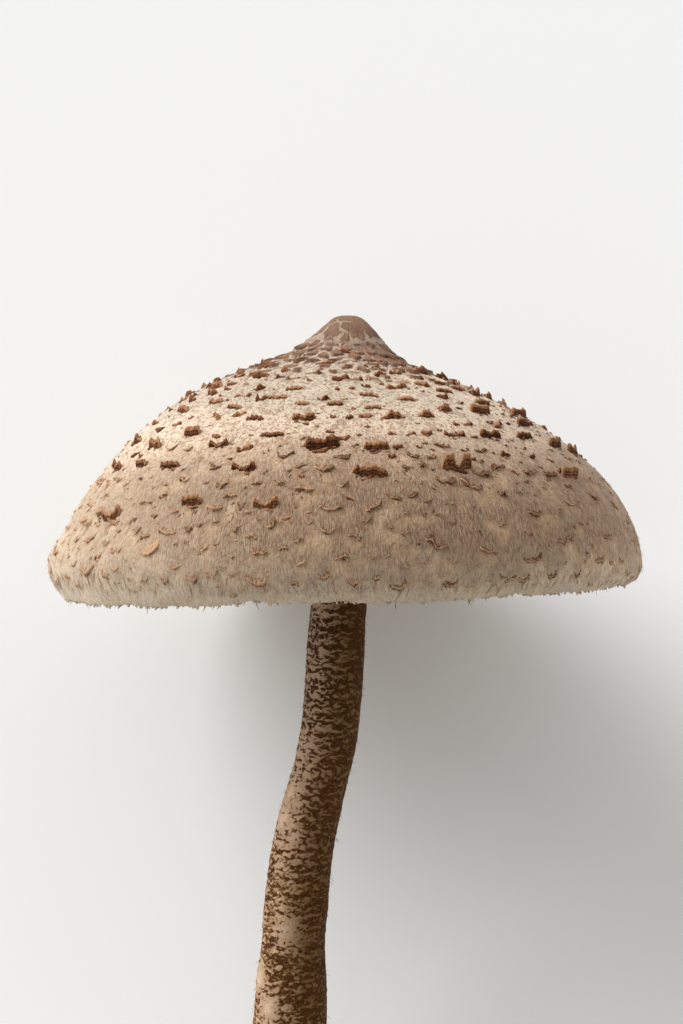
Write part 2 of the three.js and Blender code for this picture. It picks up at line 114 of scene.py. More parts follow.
class Noise:
    """Smooth random fields: values drawn once on a lattice, blended smoothly between its points."""

    SIZE = 512
    SHIFT = (17, 29)           # steps between one octave and the next, so that they don't line up

    def __init__(self, seed: int) -> None:
        """Draws the lattice's values, which the seed fixes."""
        self.lattice = default_rng(seed).random((self.SIZE, self.SIZE))

    def field(self, x: Array, y: Array, wrap: int = 0) -> Array:
        """The field at x, y, one lattice step to a unit.

        Args:
            x: first coordinate.
            y: second coordinate.
            wrap: whole number of steps after which the field repeats along x, or 0.

        Returns:
            Values between 0 and 1.
        """
        x, y = np.broadcast_arrays(x, y)
        column, row = np.floor(x).astype(int), np.floor(y).astype(int)
        across, up = ease(0, 1, x - column), ease(0, 1, y - row)
        period = wrap if wrap else self.SIZE
        left, right = column % period % self.SIZE, (column + 1) % period % self.SIZE
        low, high = row % self.SIZE, (row + 1) % self.SIZE
        near = self.lattice[left, low] * (1 - across) + self.lattice[right, low] * across
        far = self.lattice[left, high] * (1 - across) + self.lattice[right, high] * across
        return near * (1 - up) + far * up

    def fractal(self, x: Array, y: Array, octaves: int = 3, wrap: int = 0) -> Array:
        """Fields of doubling fineness and halving weight, summed and brought between 0 and 1.

        Args:
            x: first coordinate.
            y: second coordinate.
            octaves: how many fields are summed.
            wrap: whole number of steps after which the coarsest field repeats along x, or 0.

        Returns:
            Values between 0 and 1.
        """
        total, weight, worth = 0.0, 1.0, 0.0
        for octave in range(octaves):
            scale = 2 ** octave
            shift_x, shift_y = self.SHIFT[0] * octave, self.SHIFT[1] * octave
            total = total + weight * self.field(x * scale + shift_x, y * scale + shift_y, wrap * scale)
            worth += weight
            weight /= 2
        return total / worth

    def around(self, azimuth: Array, count: int, y: Array | float, octaves: int = 2) -> Array:
        """A fractal that closes round the axis: x is the azimuth's share of a turn times count."""
        return self.fractal(azimuth / TAU * count, y, octaves, count)


# ---- forms


@dataclass(frozen=True)
class CapForm:
    """Section of the cap: a rounded dome with an umbo, and a margin that curls in below it."""

    radius: float = 70.0
    dome_height: float = 49.7
    dome_power: float = 1.74
    umbo_height: float = 9.8
    umbo_radius: float = 9.0
    umbo_power: float = 4.0
    shoulder_dip: float = 1.1
    umbo_lean: float = 0.5
    crown_round: float = 0.55
    flank_dip: float = 2.3
    margin_lift: float = 1.0
    margin_drop: float = 7.4
    margin_incurl: float = 4.0
    margin_rise: float = 1.2
    flesh_centre: float = 8.0
    flesh_margin: float = 2.0
    samples: int = 4001

    def section(self, w: Array) -> dict[str, Array]:
        """The outside without the umbo at share w: 0 on the axis, 1 at the widest level, 2 at the edge.

        The dome is a superellipse, and the margin a parabola that leaves it upright.

        Args:
            w: shares.

        Returns:
            Radius r, height z, outward normal nr and nz, and flesh thickness.
        """
        w = np.asarray(w, float)
        angle = np.clip(w, 0, 1) * math.pi / 2
        down = np.clip(w - 1, 0, None)
        sine, cosine = np.sin(angle), np.clip(np.cos(angle), 0, None)
        power = 2 / self.dome_power
        r = self.radius * sine ** power - self.margin_incurl * down ** 2
        z = self.dome_height * cosine ** power - self.margin_drop * down
        on_dome = w <= 1
        steep = self.dome_power - 1
        nr = np.where(on_dome, sine ** (power * steep) / self.radius, self.margin_drop)
        nz = np.where(on_dome, cosine ** (power * steep) / self.dome_height, -2 * self.margin_incurl * down)
        length = np.hypot(nr, nz)
        dome_flesh = self.flesh_margin + (self.flesh_centre - self.flesh_margin) * cosine ** 2
        flesh = np.where(on_dome, dome_flesh, self.flesh_margin * (1 - 0.25 * down))
        return {"r": r, "z": z, "nr": nr / length, "nz": nz / length, "flesh": flesh}

    def umbo(self, r: Array) -> Array:
        """Height that the umbo adds at radius r."""
        return self.umbo_height / (1 + (r / self.umbo_radius) ** self.umbo_power)

    @property
    def apex(self) -> float:
        """Height of the apex."""
        return self.dome_height + self.umbo_height

    def outside(self) -> dict[str, Array]:
        """The outside at evenly spaced shares: its length is summed, and its normal is square to its slope.

        Returns:
            Share, distance, radius, height and outward normal.
        """
        w = np.linspace(0, 2, self.samples)
        section = self.section(w)
        r, z = section["r"], section["z"] + self.umbo(section["r"])
        step = np.hypot(np.diff(r), np.diff(z))
        distance = np.concatenate([[0.0], np.cumsum(step)])
        slopes = np.gradient(r), np.gradient(z)
        nz, nr = slopes / np.hypot(*slopes)
        return {"w": w, "distance": distance, "r": r, "z": z, "nr": -nr, "nz": nz}

    def rise(self, azimuth: Array, w: Array) -> Array:
        """Lift of the margin, highest towards +X."""
        return self.margin_rise * np.cos(azimuth) * np.clip(w - 0.6, 0, None) ** 2

    def shoulder(self, azimuth: Array, w: Array) -> Array:
        """Drop of the outside's shoulder under the umbo, lowest towards +X."""
        band = ease(0.06, 0.14, w) * (1 - ease(0.3, 0.75, w))
        return self.shoulder_dip * np.cos(azimuth) * band

    def round_off(self, w: Array) -> Array:
        """How far the skin round the umbo's tip lies below the drawn form."""
        return self.crown_round * ease(0.02, 0.11, w) * (1 - ease(0.5, 0.8, w))

    def flank(self, azimuth: Array, w: Array) -> Array:
        """How far the side towards -X is pressed in between the shoulder and the widest level."""
        band = ease(0.35, 0.76, w) * (1 - ease(0.83, 0.97, w))
        return self.flank_dip * towards(azimuth, -1) ** 1.5 * band

    def lift(self, azimuth: Array, w: Array) -> Array:
        """How far the margin towards -X is drawn up."""
        return self.margin_lift * towards(azimuth, -1) ** 2 * ease(1.0, 1.8, w)


class Cap:
    """The cap's form with its outside tabled by distance."""

    def __init__(self, form: CapForm) -> None:
        """Keeps the form and its table."""
        self.form = form
        self.table = form.outside()

    def column(self, name: str, distance: Array) -> Array:
        """One of the table's columns at a distance from the apex."""
        return np.interp(distance, self.table["distance"], self.table[name])

    def distance_at(self, w: float) -> float:
        """Distance from the apex at share w."""
        return float(np.interp(w, self.table["w"], self.table["distance"]))

    def point(self, azimuth: Array, distance: Array, height: Array | float = 0.0) -> Array:
        """Points a height above the outside: the section's point plus height times its normal, turned.

        Args:
            azimuth: of the points.
            distance: from the apex.
            height: off the skin.

        Returns:
            The points.
        """
        w = self.column("w", distance)
        height = height - self.form.flank(azimuth, w) - self.form.round_off(w)
        r = self.column("r", distance) + self.column("nr", distance) * height
        z = self.column("z", distance) + self.column("nz", distance) * height + self.form.lift(azimuth, w)
        points = polar(r, azimuth, z + self.form.rise(azimuth, w) - self.form.shoulder(azimuth, w))
        points[..., 0] += self.form.umbo_lean * ease(0.34, 0.14, w)
        return points

    def below(self, azimuth: Array, w: Array, depth: Array | float) -> Array:
        """Points a depth inside the outside's section at share w, without the umbo.

        Args:
            azimuth: of the points.
            w: shares.
            depth: along the normal.

        Returns:
            The points.
        """
        section = self.form.section(w)
        depth = depth + self.form.flank(azimuth, w)
        r = section["r"] - section["nr"] * depth
        z = section["z"] - section["nz"] * depth + self.form.rise(azimuth, w) + self.form.lift(azimuth, w)
        return polar(r, azimuth, z)

    def flesh(self, w: Array) -> Array:
        """Flesh thickness at share w."""
        return self.form.section(w)["flesh"]


def polar(radius: Array, azimuth: Array, height: Array) -> Array:
    """Points from radius, azimuth and height about the cap's axis."""
    radius, azimuth, height = np.broadcast_arrays(radius, azimuth, height)
    return np.stack([radius * np.cos(azimuth), radius * np.sin(azimuth), height], axis=-1)


def outward(azimuth: Array) -> Array:
    """Unit directions away from the axis."""
    return polar(np.ones_like(azimuth), azimuth, 0 * azimuth)


def sideways(azimuth: Array) -> Array:
    """Unit directions round the axis, towards a greater azimuth."""
    return np.stack([-np.sin(azimuth), np.cos(azimuth), 0 * azimuth], axis=-1)


def columns_round(count: int) -> Array:
    """Azimuths of a closed skin's columns, whose seam lies on the ground."""
    return GROUND + TAU * np.arange(count) / count


@dataclass(frozen=True)
class StemForm:
    """Line and girth of the stem: height, sideways offset and radius at stations, top to foot."""

    stations: tuple[Triple, ...] = (
        (44.2, 0, 5.0), (42.6, 0, 6.3), (38, 0, 6.5), (20, -0.5, 6.4), (0, -1.0, 6.5), (-10, -1.4, 6.65),
        (-20, -2.1, 6.9), (-32, -2.9, 6.9), (-44, -4.6, 6.9), (-56, -7.7, 7.15), (-68, -10.1, 7.5),
        (-80, -11.5, 7.6), (-90, -12.4, 7.5), (-98, -12.7, 8.3), (-108, -13.0, 8.9), (-124, -12.9, 9.6),
        (-137, -12.3, 11.1), (-145, -11.8, 13.7), (-152, -11.5, 16.4), (-159, -11.3, 17.5),
        (-165.5, -11.2, 16.4), (-170, -11.2, 13.2), (-172.6, -11.2, 8.4), (-173.6, -11.2, 4),
    )

    def along(self, share: Array) -> tuple[Array, Array, Array]:
        """Height, offset and radius at a share of the way down: a smooth cubic through the stations.

        Args:
            share: 0 at the top and 1 at the foot, even by the stations' chord lengths.

        Returns:
            Height, sideways offset and radius.
        """
        points = np.array(self.stations)
        chord = np.sqrt(np.linalg.norm(np.diff(points, axis=0), axis=1))
        knots = np.concatenate([[0.0], np.cumsum(chord)])
        slopes = np.gradient(points, knots, axis=0)
        at = np.clip(share, 0, 1) * knots[-1]
        index = np.clip(np.searchsorted(knots, at, side="right") - 1, 0, len(knots) - 2)
        span = (knots[index + 1] - knots[index])[..., None]
        t = ((at - knots[index])[..., None]) / span
        start, end = points[index], points[index + 1]
        leave, reach = slopes[index] * span, slopes[index + 1] * span
        cubic = (
            (2 * t ** 3 - 3 * t ** 2 + 1) * start + (t ** 3 - 2 * t ** 2 + t) * leave
            + (3 * t ** 2 - 2 * t ** 3) * end + (t ** 3 - t ** 2) * reach
        )
        return cubic[..., 0], cubic[..., 1], cubic[..., 2]

    def at_height(self, height: Array) -> tuple[Array, Array]:
        """The stem between 600 stations.

        Args:
            height: along the axis.

        Returns:
            Sideways offset and radius.
        """
        levels, offsets, radii = self.along(np.linspace(0, 1, 600))
        order = np.argsort(levels)
        return (
            np.interp(height, levels[order], offsets[order]),
            np.interp(height, levels[order], radii[order]),
        )


@dataclass(frozen=True)
class Lying:
    """The turn from the growing mushroom, in millimetres, to the row's frame, in metres."""

    apex_in_row: Array
    apex_height: float

    @classmethod
    def from_frame(cls, cap_node: Object, apex_height: float) -> Lying:
        """Finds the turn from the cap's solid, whose apex is its furthest point along the lying axis.

        Args:
            cap_node: the cap's CAD object.
            apex_height: height of the apex on the growing mushroom, in millimetres.

        Returns:
            The turn.
        """
        points = np.empty(len(cap_node.data.vertices) * 3)
        cap_node.data.vertices.foreach_get("co", points)
        points = points.reshape(-1, 3)
        axis = np.array([0.0, math.cos(LYING_TILT), math.sin(LYING_TILT)])
        return cls(points[np.argmax(points @ axis)], apex_height)

    def turn(self, vectors: Array) -> Array:
        """Turns directions: the axis goes to +Y and up by the tilt, and the back side goes down.

        Args:
            vectors: on the growing mushroom.

        Returns:
            The same in the row's frame.
        """
        x, y, z = vectors[..., 0], vectors[..., 1], vectors[..., 2]
        sine, cosine = math.sin(LYING_TILT), math.cos(LYING_TILT)
        return np.stack([x, y * sine + z * cosine, z * sine - y * cosine], axis=-1)

    def place(self, points: Array) -> Array:
        """Places points of the growing mushroom in the row's frame; none goes below the ground.

        Args:
            points: in growing millimetres.

        Returns:
            The same in the frame's metres.
        """
        offset = points - np.array([0.0, 0.0, self.apex_height])
        placed = self.turn(offset) * MM + self.apex_in_row
        placed[..., 2] = np.maximum(placed[..., 2], 0)
        return placed


# ---- meshes


class Sheaf:
    """Gathers closed bodies given as sections, each a closed loop of points, into one mesh."""

    def __init__(self, name: str, lying: Lying) -> None:
        """Starts empty.

        Args:
            name: name of the piece.
            lying: the turn into the row's frame.
        """
        self.name = name
        self.lying = lying
        self.points: list[Array] = []
        self.faces: list[list[int]] = []
        self.uvs: list[Array] = []
        self.attributes: dict[str, list[Array]] = {}
        self.count = 0

    def add(self, points: Array, uv: Array, attributes: dict[str, Array], ring: bool = False) -> None:
        """Adds bodies, each carried along its sections.

        Args:
            points: bodies x sections x loop points x 3, in growing millimetres.
            uv: the same with one more loop point, which closes the loop, x 2.
            attributes: values for each point, by name.
            ring: whether the last section joins the first; otherwise both ends get a face.
        """
        bodies, sections, loop = points.shape[:3]
        index = np.arange(bodies * sections * loop).reshape(bodies, sections, loop) + self.count
        corner_uv = np.broadcast_to(uv, (bodies, sections, loop + 1, 2))
        if ring:
            index = np.concatenate([index, index[:, :1]], axis=1)
            corner_uv = np.concatenate([corner_uv, corner_uv[:, -1:] * [0, 1] + [1, 0]], axis=1)
        index = np.concatenate([index, index[:, :, :1]], axis=2)
        near, far = index[:, :-1], index[:, 1:]
        quads = np.stack([near[..., :-1], near[..., 1:], far[..., 1:], far[..., :-1]], axis=-1)
        quads = quads.reshape(-1, 4)
        near, far = corner_uv[:, :-1], corner_uv[:, 1:]
        quad_uv = np.stack([near[..., :-1, :], near[..., 1:, :], far[..., 1:, :], far[..., :-1, :]], axis=-2)
        faces = [quads.tolist()]
        uvs = [quad_uv.reshape(-1, 2)]
        if not ring:
            faces += [index[:, 0, loop - 1::-1].tolist(), index[:, -1, :loop].tolist()]
            uvs += [corner_uv[:, 0, loop - 1::-1].reshape(-1, 2), corner_uv[:, -1, :loop].reshape(-1, 2)]
        placed = self.lying.place(points).reshape(-1, 3)
        if self._inside_out(placed, quads - self.count):
            faces = [[face[::-1] for face in group] for group in faces]
            sizes = [4] + ([loop, loop] if not ring else [])
            uvs = [part.reshape(-1, size, 2)[:, ::-1].reshape(-1, 2) for part, size in zip(uvs, sizes)]
        for group in faces:
            self.faces += group
        self.uvs += uvs
        self.points.append(placed)
        for key, values in attributes.items():
            spread = np.broadcast_to(values, points.shape[:3]).reshape(-1)
            self.attributes.setdefault(key, []).append(spread)
        self.count += len(placed)

    @classmethod
    def piece(
        cls, name: str, lying: Lying, points: Array, attributes: dict[str, Array], material: Material,
        slot: Slot, replaces: tuple[str, ...] = (), uv: Array | None = None, ring: bool = False,
    ) -> None:
        """Makes a piece of one batch of bodies.

        Args:
            name: name of the piece.
            lying: the turn into the row's frame.
            points: as for add.
            attributes: values for each point, by name.
            material: its finish.
            slot: the record's slot, passed on to build, which does not use it.
            replaces: CAD nodes it stands for.
            uv: as for add, or none for an even grid over each body.
            ring: whether the last section joins the first.
        """
        sheaf = cls(name, lying)
        sheaf.add(points, grid_uv(*points.shape[1:3]) if uv is None else uv, attributes, ring)
        sheaf.build(material, slot, replaces)

    @staticmethod
    def _inside_out(points: Array, quads: Array) -> bool:
        """Whether the quads enclose a negative volume: the sum of the corners' triple products.

        Args:
            points: placed points.
            quads: rows of four indices.

        Returns:
            True where the faces point inwards.
        """
        centre = points.mean(axis=0)
        a, b, c, d = (points[quads[:, corner]] - centre for corner in range(4))
        triple = np.einsum("ij,ij->i", a, np.cross(b, c)) + np.einsum("ij,ij->i", a, np.cross(c, d))
        return float(triple.sum()) < 0

    def build(self, material: Material, slot: Slot, replaces: tuple[str, ...] = ()) -> None:
        """Makes the object, dresses it and lets it ride on the body.

        Args:
            material: its finish.
            slot: not used.
            replaces: CAD nodes it stands for.
        """
        mesh = bpy.data.meshes.new(self.name)
        mesh.from_pydata(np.concatenate(self.points), [], self.faces)
        layer = mesh.uv_layers.new(name=UV_NAME)
        layer.data.foreach_set("uv", np.concatenate(self.uvs).astype(np.float32).ravel())
        for key, values in self.attributes.items():
            attribute = mesh.attributes.new(key, "FLOAT", "POINT")
            attribute.data.foreach_set("value", np.concatenate(values).astype(np.float32))
        mesh.shade_smooth()
        mesh.materials.append(material)
        piece = bpy.data.objects.new(self.name, mesh)
        bpy.context.scene.collection.objects.link(piece)
        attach(piece, BODY)
        if replaces:
            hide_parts(*replaces)
        LOG.info("%s: %d faces", self.name, len(self.faces))


def grid_uv(sections: int, loop: int) -> Array:
    """UVs of one body: first coordinate along the sections and second round the loop, both 0 to 1.

    Args:
        sections: their number.
        loop: points of a section.

    Returns:
        UVs for Sheaf.add.
    """
    along = np.linspace(0, 1, sections)[:, None]
    around = np.linspace(0, 1, loop + 1)[None, :]
    along, around = np.broadcast_arrays(along, around)
    return np.stack([along, around], axis=-1)[None]


def skin_uv(steps: Array, columns: int) -> Array:
    """UVs of a closed skin: round it from 0 to 1, and down it by length.

    Args:
        steps: millimetres from each ring to the next.
        columns: points round a ring.

    Returns:
        UVs for Sheaf.add.
    """
    run = np.concatenate([[0.0], np.cumsum(steps)]) / UV_UNIT
    around = np.linspace(0, 1, columns + 1)
    return np.stack(np.broadcast_arrays(around[None, :], run[:, None]), axis=-1)[None]


def slivers(
    path: Array, side: Array, normal: Array, width: Array, depth: float, tip: float = 0.12,
) -> Array:
    """Fine fibres with a three-cornered section that narrows to its far end.

    Args:
        path: fibres x stations x 3, the points they follow.
        side: fibres x 1 x 3, the direction of their width.
        normal: fibres x 1 x 3, the direction they stand out in.
        width: fibres x 1 x 1, the greatest width.
        depth: thickness against width.
        tip: width of the far end against the greatest width.

    Returns:
        Fibres x stations x 3 loop points x 3.
    """
    stations = path.shape[1]
    taper = np.interp(np.linspace(0, 1, stations), [0, 0.25, 0.6, 1], [0.7, 1, 0.85, tip])[None, :, None]
    half = width * taper / 2
    return np.stack([path - side * half, path + normal * half * 2 * depth, path + side * half], axis=2)


# ---- nets of shader nodes


class Net:
    """Short calls for building a node tree."""

    MIX_COLOURS = (6, 7)
    MIX_RESULT = 2

    def __init__(self, tree: NodeTree) -> None:
        """Keeps the tree of a material or a group."""
        self.tree = tree

    def node(self, kind: str, **settings: object) -> Node:
        """Adds a node and sets its properties.

        Args:
            kind: its type.
            settings: its properties.

        Returns:
            The node.
        """
        made = self.tree.nodes.new(kind)
        for key, value in settings.items():
            setattr(made, key, value)
        return made

    def feed(self, socket: NodeSocket, value: object) -> None:
        """Links a socket to another socket, or sets its value.

        Args:
            socket: an input.
            value: an output or a value.
        """
        if isinstance(value, NodeSocket):
            self.tree.links.new(value, socket)
        else:
            socket.default_value = value

    def fill(self, made: Node, given: dict[str, object]) -> Node:
        """Feeds a node's inputs by name.

        Args:
            made: the node.
            given: sockets or values; underscores in the names stand for spaces.

        Returns:
            The node.
        """
        for key, value in given.items():
            self.feed(made.inputs[key.replace("_", " ")], value)
        return made

    def result(self, kind: str, values: tuple[object, ...], **settings: object) -> NodeSocket:
        """Adds a node, feeds its first inputs in order, and gives its first output.

        Args:
            kind: the node's type.
            values: sockets or values.
            settings: properties of the node.

        Returns:
            The output's socket.
        """
        made = self.node(kind, **settings)
        for socket, value in zip(made.inputs, values):
            self.feed(socket, value)
        return made.outputs[0]

    def math(self, operation: str, first: object, second: object, clamp: bool = False) -> NodeSocket:
        """A Math node's result, which clamp keeps between 0 and 1."""
        return self.result("ShaderNodeMath", (first, second), operation=operation, use_clamp=clamp)

    def vector(self, operation: str, first: object, second: object) -> NodeSocket:
        """A Vector Math node's result."""
        return self.result("ShaderNodeVectorMath", (first, second), operation=operation)

    def add(self, first: object, second: object, clamp: bool = False) -> NodeSocket:
        """First plus second."""
        return self.math("ADD", first, second, clamp)

    def times(self, first: object, second: object) -> NodeSocket:
        """First times second."""
        return self.math("MULTIPLY", first, second)

    def blend(self, factor: object, first: object, second: object, mode: str = "MIX") -> NodeSocket:
        """Blends two colours, each a socket or a colour without alpha.

        Args:
            factor: share of the second colour.
            first: colour at factor 0.
            second: colour at factor 1.
            mode: how the second is laid on the first.

        Returns:
            The blended colour's socket.
        """
        made = self.fill(self.node("ShaderNodeMix", data_type="RGBA", blend_type=mode), {"Factor": factor})
        for index, given in zip(self.MIX_COLOURS, (first, second)):
            self.feed(made.inputs[index], opaque(given) if isinstance(given, tuple) else given)
        return made.outputs[self.MIX_RESULT]

    def span(
        self, value: object, low: float, high: float, to_low: float = 0.0, to_high: float = 1.0,
    ) -> NodeSocket:
        """Carries a value from one range to another by a smooth rise.

        Args:
            value: socket or value.
            low: start of its range.
            high: end of its range.
            to_low: result up to low.
            to_high: result from high on.

        Returns:
            The result's socket.
        """
        return self.result(
            "ShaderNodeMapRange", (value, low, high, to_low, to_high), interpolation_type="SMOOTHSTEP",
        )

    def noise(self, place: object, **settings: object) -> Node:
        """A Noise Texture node at a place."""
        return self.fill(self.node("ShaderNodeTexNoise"), {"Vector": place, **settings})

    def ramp(self, value: object, stops: tuple[tuple[float, Colour], ...]) -> NodeSocket:
        """Colours a value by stops that ease into each other.

        Args:
            value: socket between 0 and 1.
            stops: positions with their colours.

        Returns:
            The colour's socket.
        """
        made = self.node("ShaderNodeValToRGB")
        made.color_ramp.interpolation = "EASE"
        elements = made.color_ramp.elements
        for _ in range(len(stops) - 2):
            elements.new(0.5)
        for element, (position, colour) in zip(elements, stops):
            element.position = position
            element.color = (*colour, 1)
        self.feed(made.inputs["Fac"], value)
        return made.outputs["Color"]

    def attribute(self, name: str) -> NodeSocket:
        """A point attribute's value."""
        return self.node("ShaderNodeAttribute", attribute_name=name).outputs["Fac"]

    def uv(self) -> NodeSocket:
        """The piece's own UV map."""
        return self.node("ShaderNodeUVMap", uv_map=UV_NAME).outputs["UV"]

    def place(self) -> NodeSocket:
        """Object coordinates."""
        return self.node("ShaderNodeTexCoord").outputs["Object"]

    def group(self, tree: NodeTree, **inputs: object) -> NodeOutputs:
        """Places a node group, feeds its inputs and gives its outputs."""
        return self.fill(self.node("ShaderNodeGroup", node_tree=tree), inputs).outputs


def linear(value: int) -> float:
    """One channel's linear value, by the sRGB curve, from a display value between 0 and 255."""
    share = value / 255
    return share / 12.92 if share <= 0.04045 else ((share + 0.055) / 1.055) ** 2.4


def rgb(red: int, green: int, blue: int) -> Colour:
    """Linear colour from display values between 0 and 255."""
    return linear(red), linear(green), linear(blue)


def opaque(colour: Colour) -> tuple[float, float, float, float]:
    """A colour with full alpha, for a colour socket."""
    return (*colour, 1.0)


class SharedEffects:
    """Node groups that several finishes use, each built once."""

    def __init__(self) -> None:
        """Builds the groups."""
        self.fibres = self._fibres()
        self.flecks = self._flecks()
        self.mottle = self._mottle()

    @staticmethod
    def _new(name: str, inputs: tuple[str, ...], outputs: tuple[str, ...]) -> tuple:
        """Starts a group with a Vector input and named values.

        Args:
            name: the group's name.
            inputs: names of its value inputs.
            outputs: names of its value outputs.

        Returns:
            The net, its input sockets and its output sockets.
        """
        tree = bpy.data.node_groups.new(name, "ShaderNodeTree")
        tree.interface.new_socket(name="Vector", in_out="INPUT", socket_type="NodeSocketVector")
        for side, names in (("INPUT", inputs), ("OUTPUT", outputs)):
            for key in names:
                tree.interface.new_socket(name=key, in_out=side, socket_type="NodeSocketFloat")
        net = Net(tree)
        entry, leave = net.node("NodeGroupInput"), net.node("NodeGroupOutput")
        return net, entry.outputs, leave.inputs

    def _fibres(self) -> NodeTree:
        """Long streaks: noise on a coordinate that is stretched by Across and Along and swayed by Bend.

        Returns:
            The group.
        """
        net, given, made = self._new("FibreStreaks", ("Across", "Along", "Bend"), ("Mask", "Height"))
        scale = net.result("ShaderNodeCombineXYZ", (given["Across"], given["Along"]))
        spread = net.vector("MULTIPLY", given["Vector"], (60.0, 14.0, 0.0))
        sway = net.math("SUBTRACT", net.noise(spread, Scale=1.0, Detail=2.0).outputs["Fac"], 0.5)
        shift = net.result("ShaderNodeCombineXYZ", (net.times(sway, given["Bend"]),))
        stretched = net.vector("MULTIPLY", net.vector("ADD", given["Vector"], shift), scale)
        coarse = net.noise(stretched, Scale=1.0, Detail=5.0, Roughness=0.62, Distortion=0.35)
        net.feed(made["Mask"], net.span(coarse.outputs["Fac"], 0.36, 0.64))
        net.feed(made["Height"], coarse.outputs["Fac"])
        return net.tree

    def _flecks(self) -> NodeTree:
        """Small separate flecks: noise above a threshold that Amount lowers.

        Returns:
            The group.
        """
        net, given, made = self._new("Flecks", ("Scale", "Amount"), ("Mask",))
        settings = {"Scale": given["Scale"], "Detail": 2.5, "Roughness": 0.6, "Distortion": 0.6}
        raised = net.add(net.noise(given["Vector"], **settings).outputs["Fac"], given["Amount"])
        net.feed(made["Mask"], net.span(raised, 0.62, 0.70))
        return net.tree

    def _mottle(self) -> NodeTree:
        """Soft uneven tone: two noises of different fineness.

        Returns:
            The group.
        """
        net, given, made = self._new("Mottle", ("Scale",), ("Tone", "Grain"))
        for key, times, detail in (("Tone", 1.0, 3.0), ("Grain", 9.0, 4.0)):
            noise = net.noise(given["Vector"], Scale=net.times(given["Scale"], times), Detail=detail)
            net.feed(made[key], noise.outputs["Fac"])
        return net.tree


class Paint(Net):
    """A material's node tree, with the shared effects at hand."""

    def __init__(self, tree: NodeTree, effects: SharedEffects) -> None:
        """Keeps the tree and the effects."""
        super().__init__(tree)
        self.effects = effects

    def mottle(self, scale: float) -> NodeOutputs:
        """The mottle on the piece's Object coordinates."""
        return self.group(self.effects.mottle, Vector=self.place(), Scale=scale)

    def flecks(self, scale: float, amount: float) -> NodeOutputs:
        """The flecks on the piece's Object coordinates."""
        return self.group(self.effects.flecks, Vector=self.place(), Scale=scale, Amount=amount)

    def fibres(self, across: float, along: float, bend: float = 0.0) -> NodeOutputs:
        """The fibre streaks on the piece's UV map."""
        return self.group(self.effects.fibres, Vector=self.uv(), Across=across, Along=along, Bend=bend)


@dataclass(frozen=True)
class Finish:
    """What every finish shares: a Principled surface with its constants set on its own sockets."""

    name: str = "finish"
    gloss: float = 0.25
    sheen: float = 0.0
    subsurface: float = 0.0
    bump_depth: float = 0.0002
    bump_strength: float = 0.6

    def pattern(self, net: Paint) -> Look:
        """What changes over the surface; each finish gives its own."""
        raise NotImplementedError

    def build(self, effects: SharedEffects) -> Material:
        """Makes the material: constants on its own sockets, then the pattern, whose height is a bump.

        Args:
            effects: the shared node groups.

        Returns:
            The material.
        """
        material = bpy.data.materials.new(self.name)
        material.use_nodes = True
        net = Paint(material.node_tree, effects)
        surface = material.node_tree.nodes["Principled BSDF"]
        colour, roughness, height = self.pattern(net)
        bump_settings = {"Strength": self.bump_strength, "Distance": self.bump_depth, "Height": height}
        relief = net.fill(net.node("ShaderNodeBump"), bump_settings)
        net.fill(surface, {
            "Specular IOR Level": self.gloss, "Sheen Weight": self.sheen, "Sheen Roughness": 0.6,
            "Subsurface Weight": self.subsurface, "Subsurface Radius": (0.9, 0.5, 0.3),
            "Subsurface Scale": 0.002, "Base Color": colour, "Roughness": roughness,
            "Normal": relief.outputs["Normal"],
        })
        return material


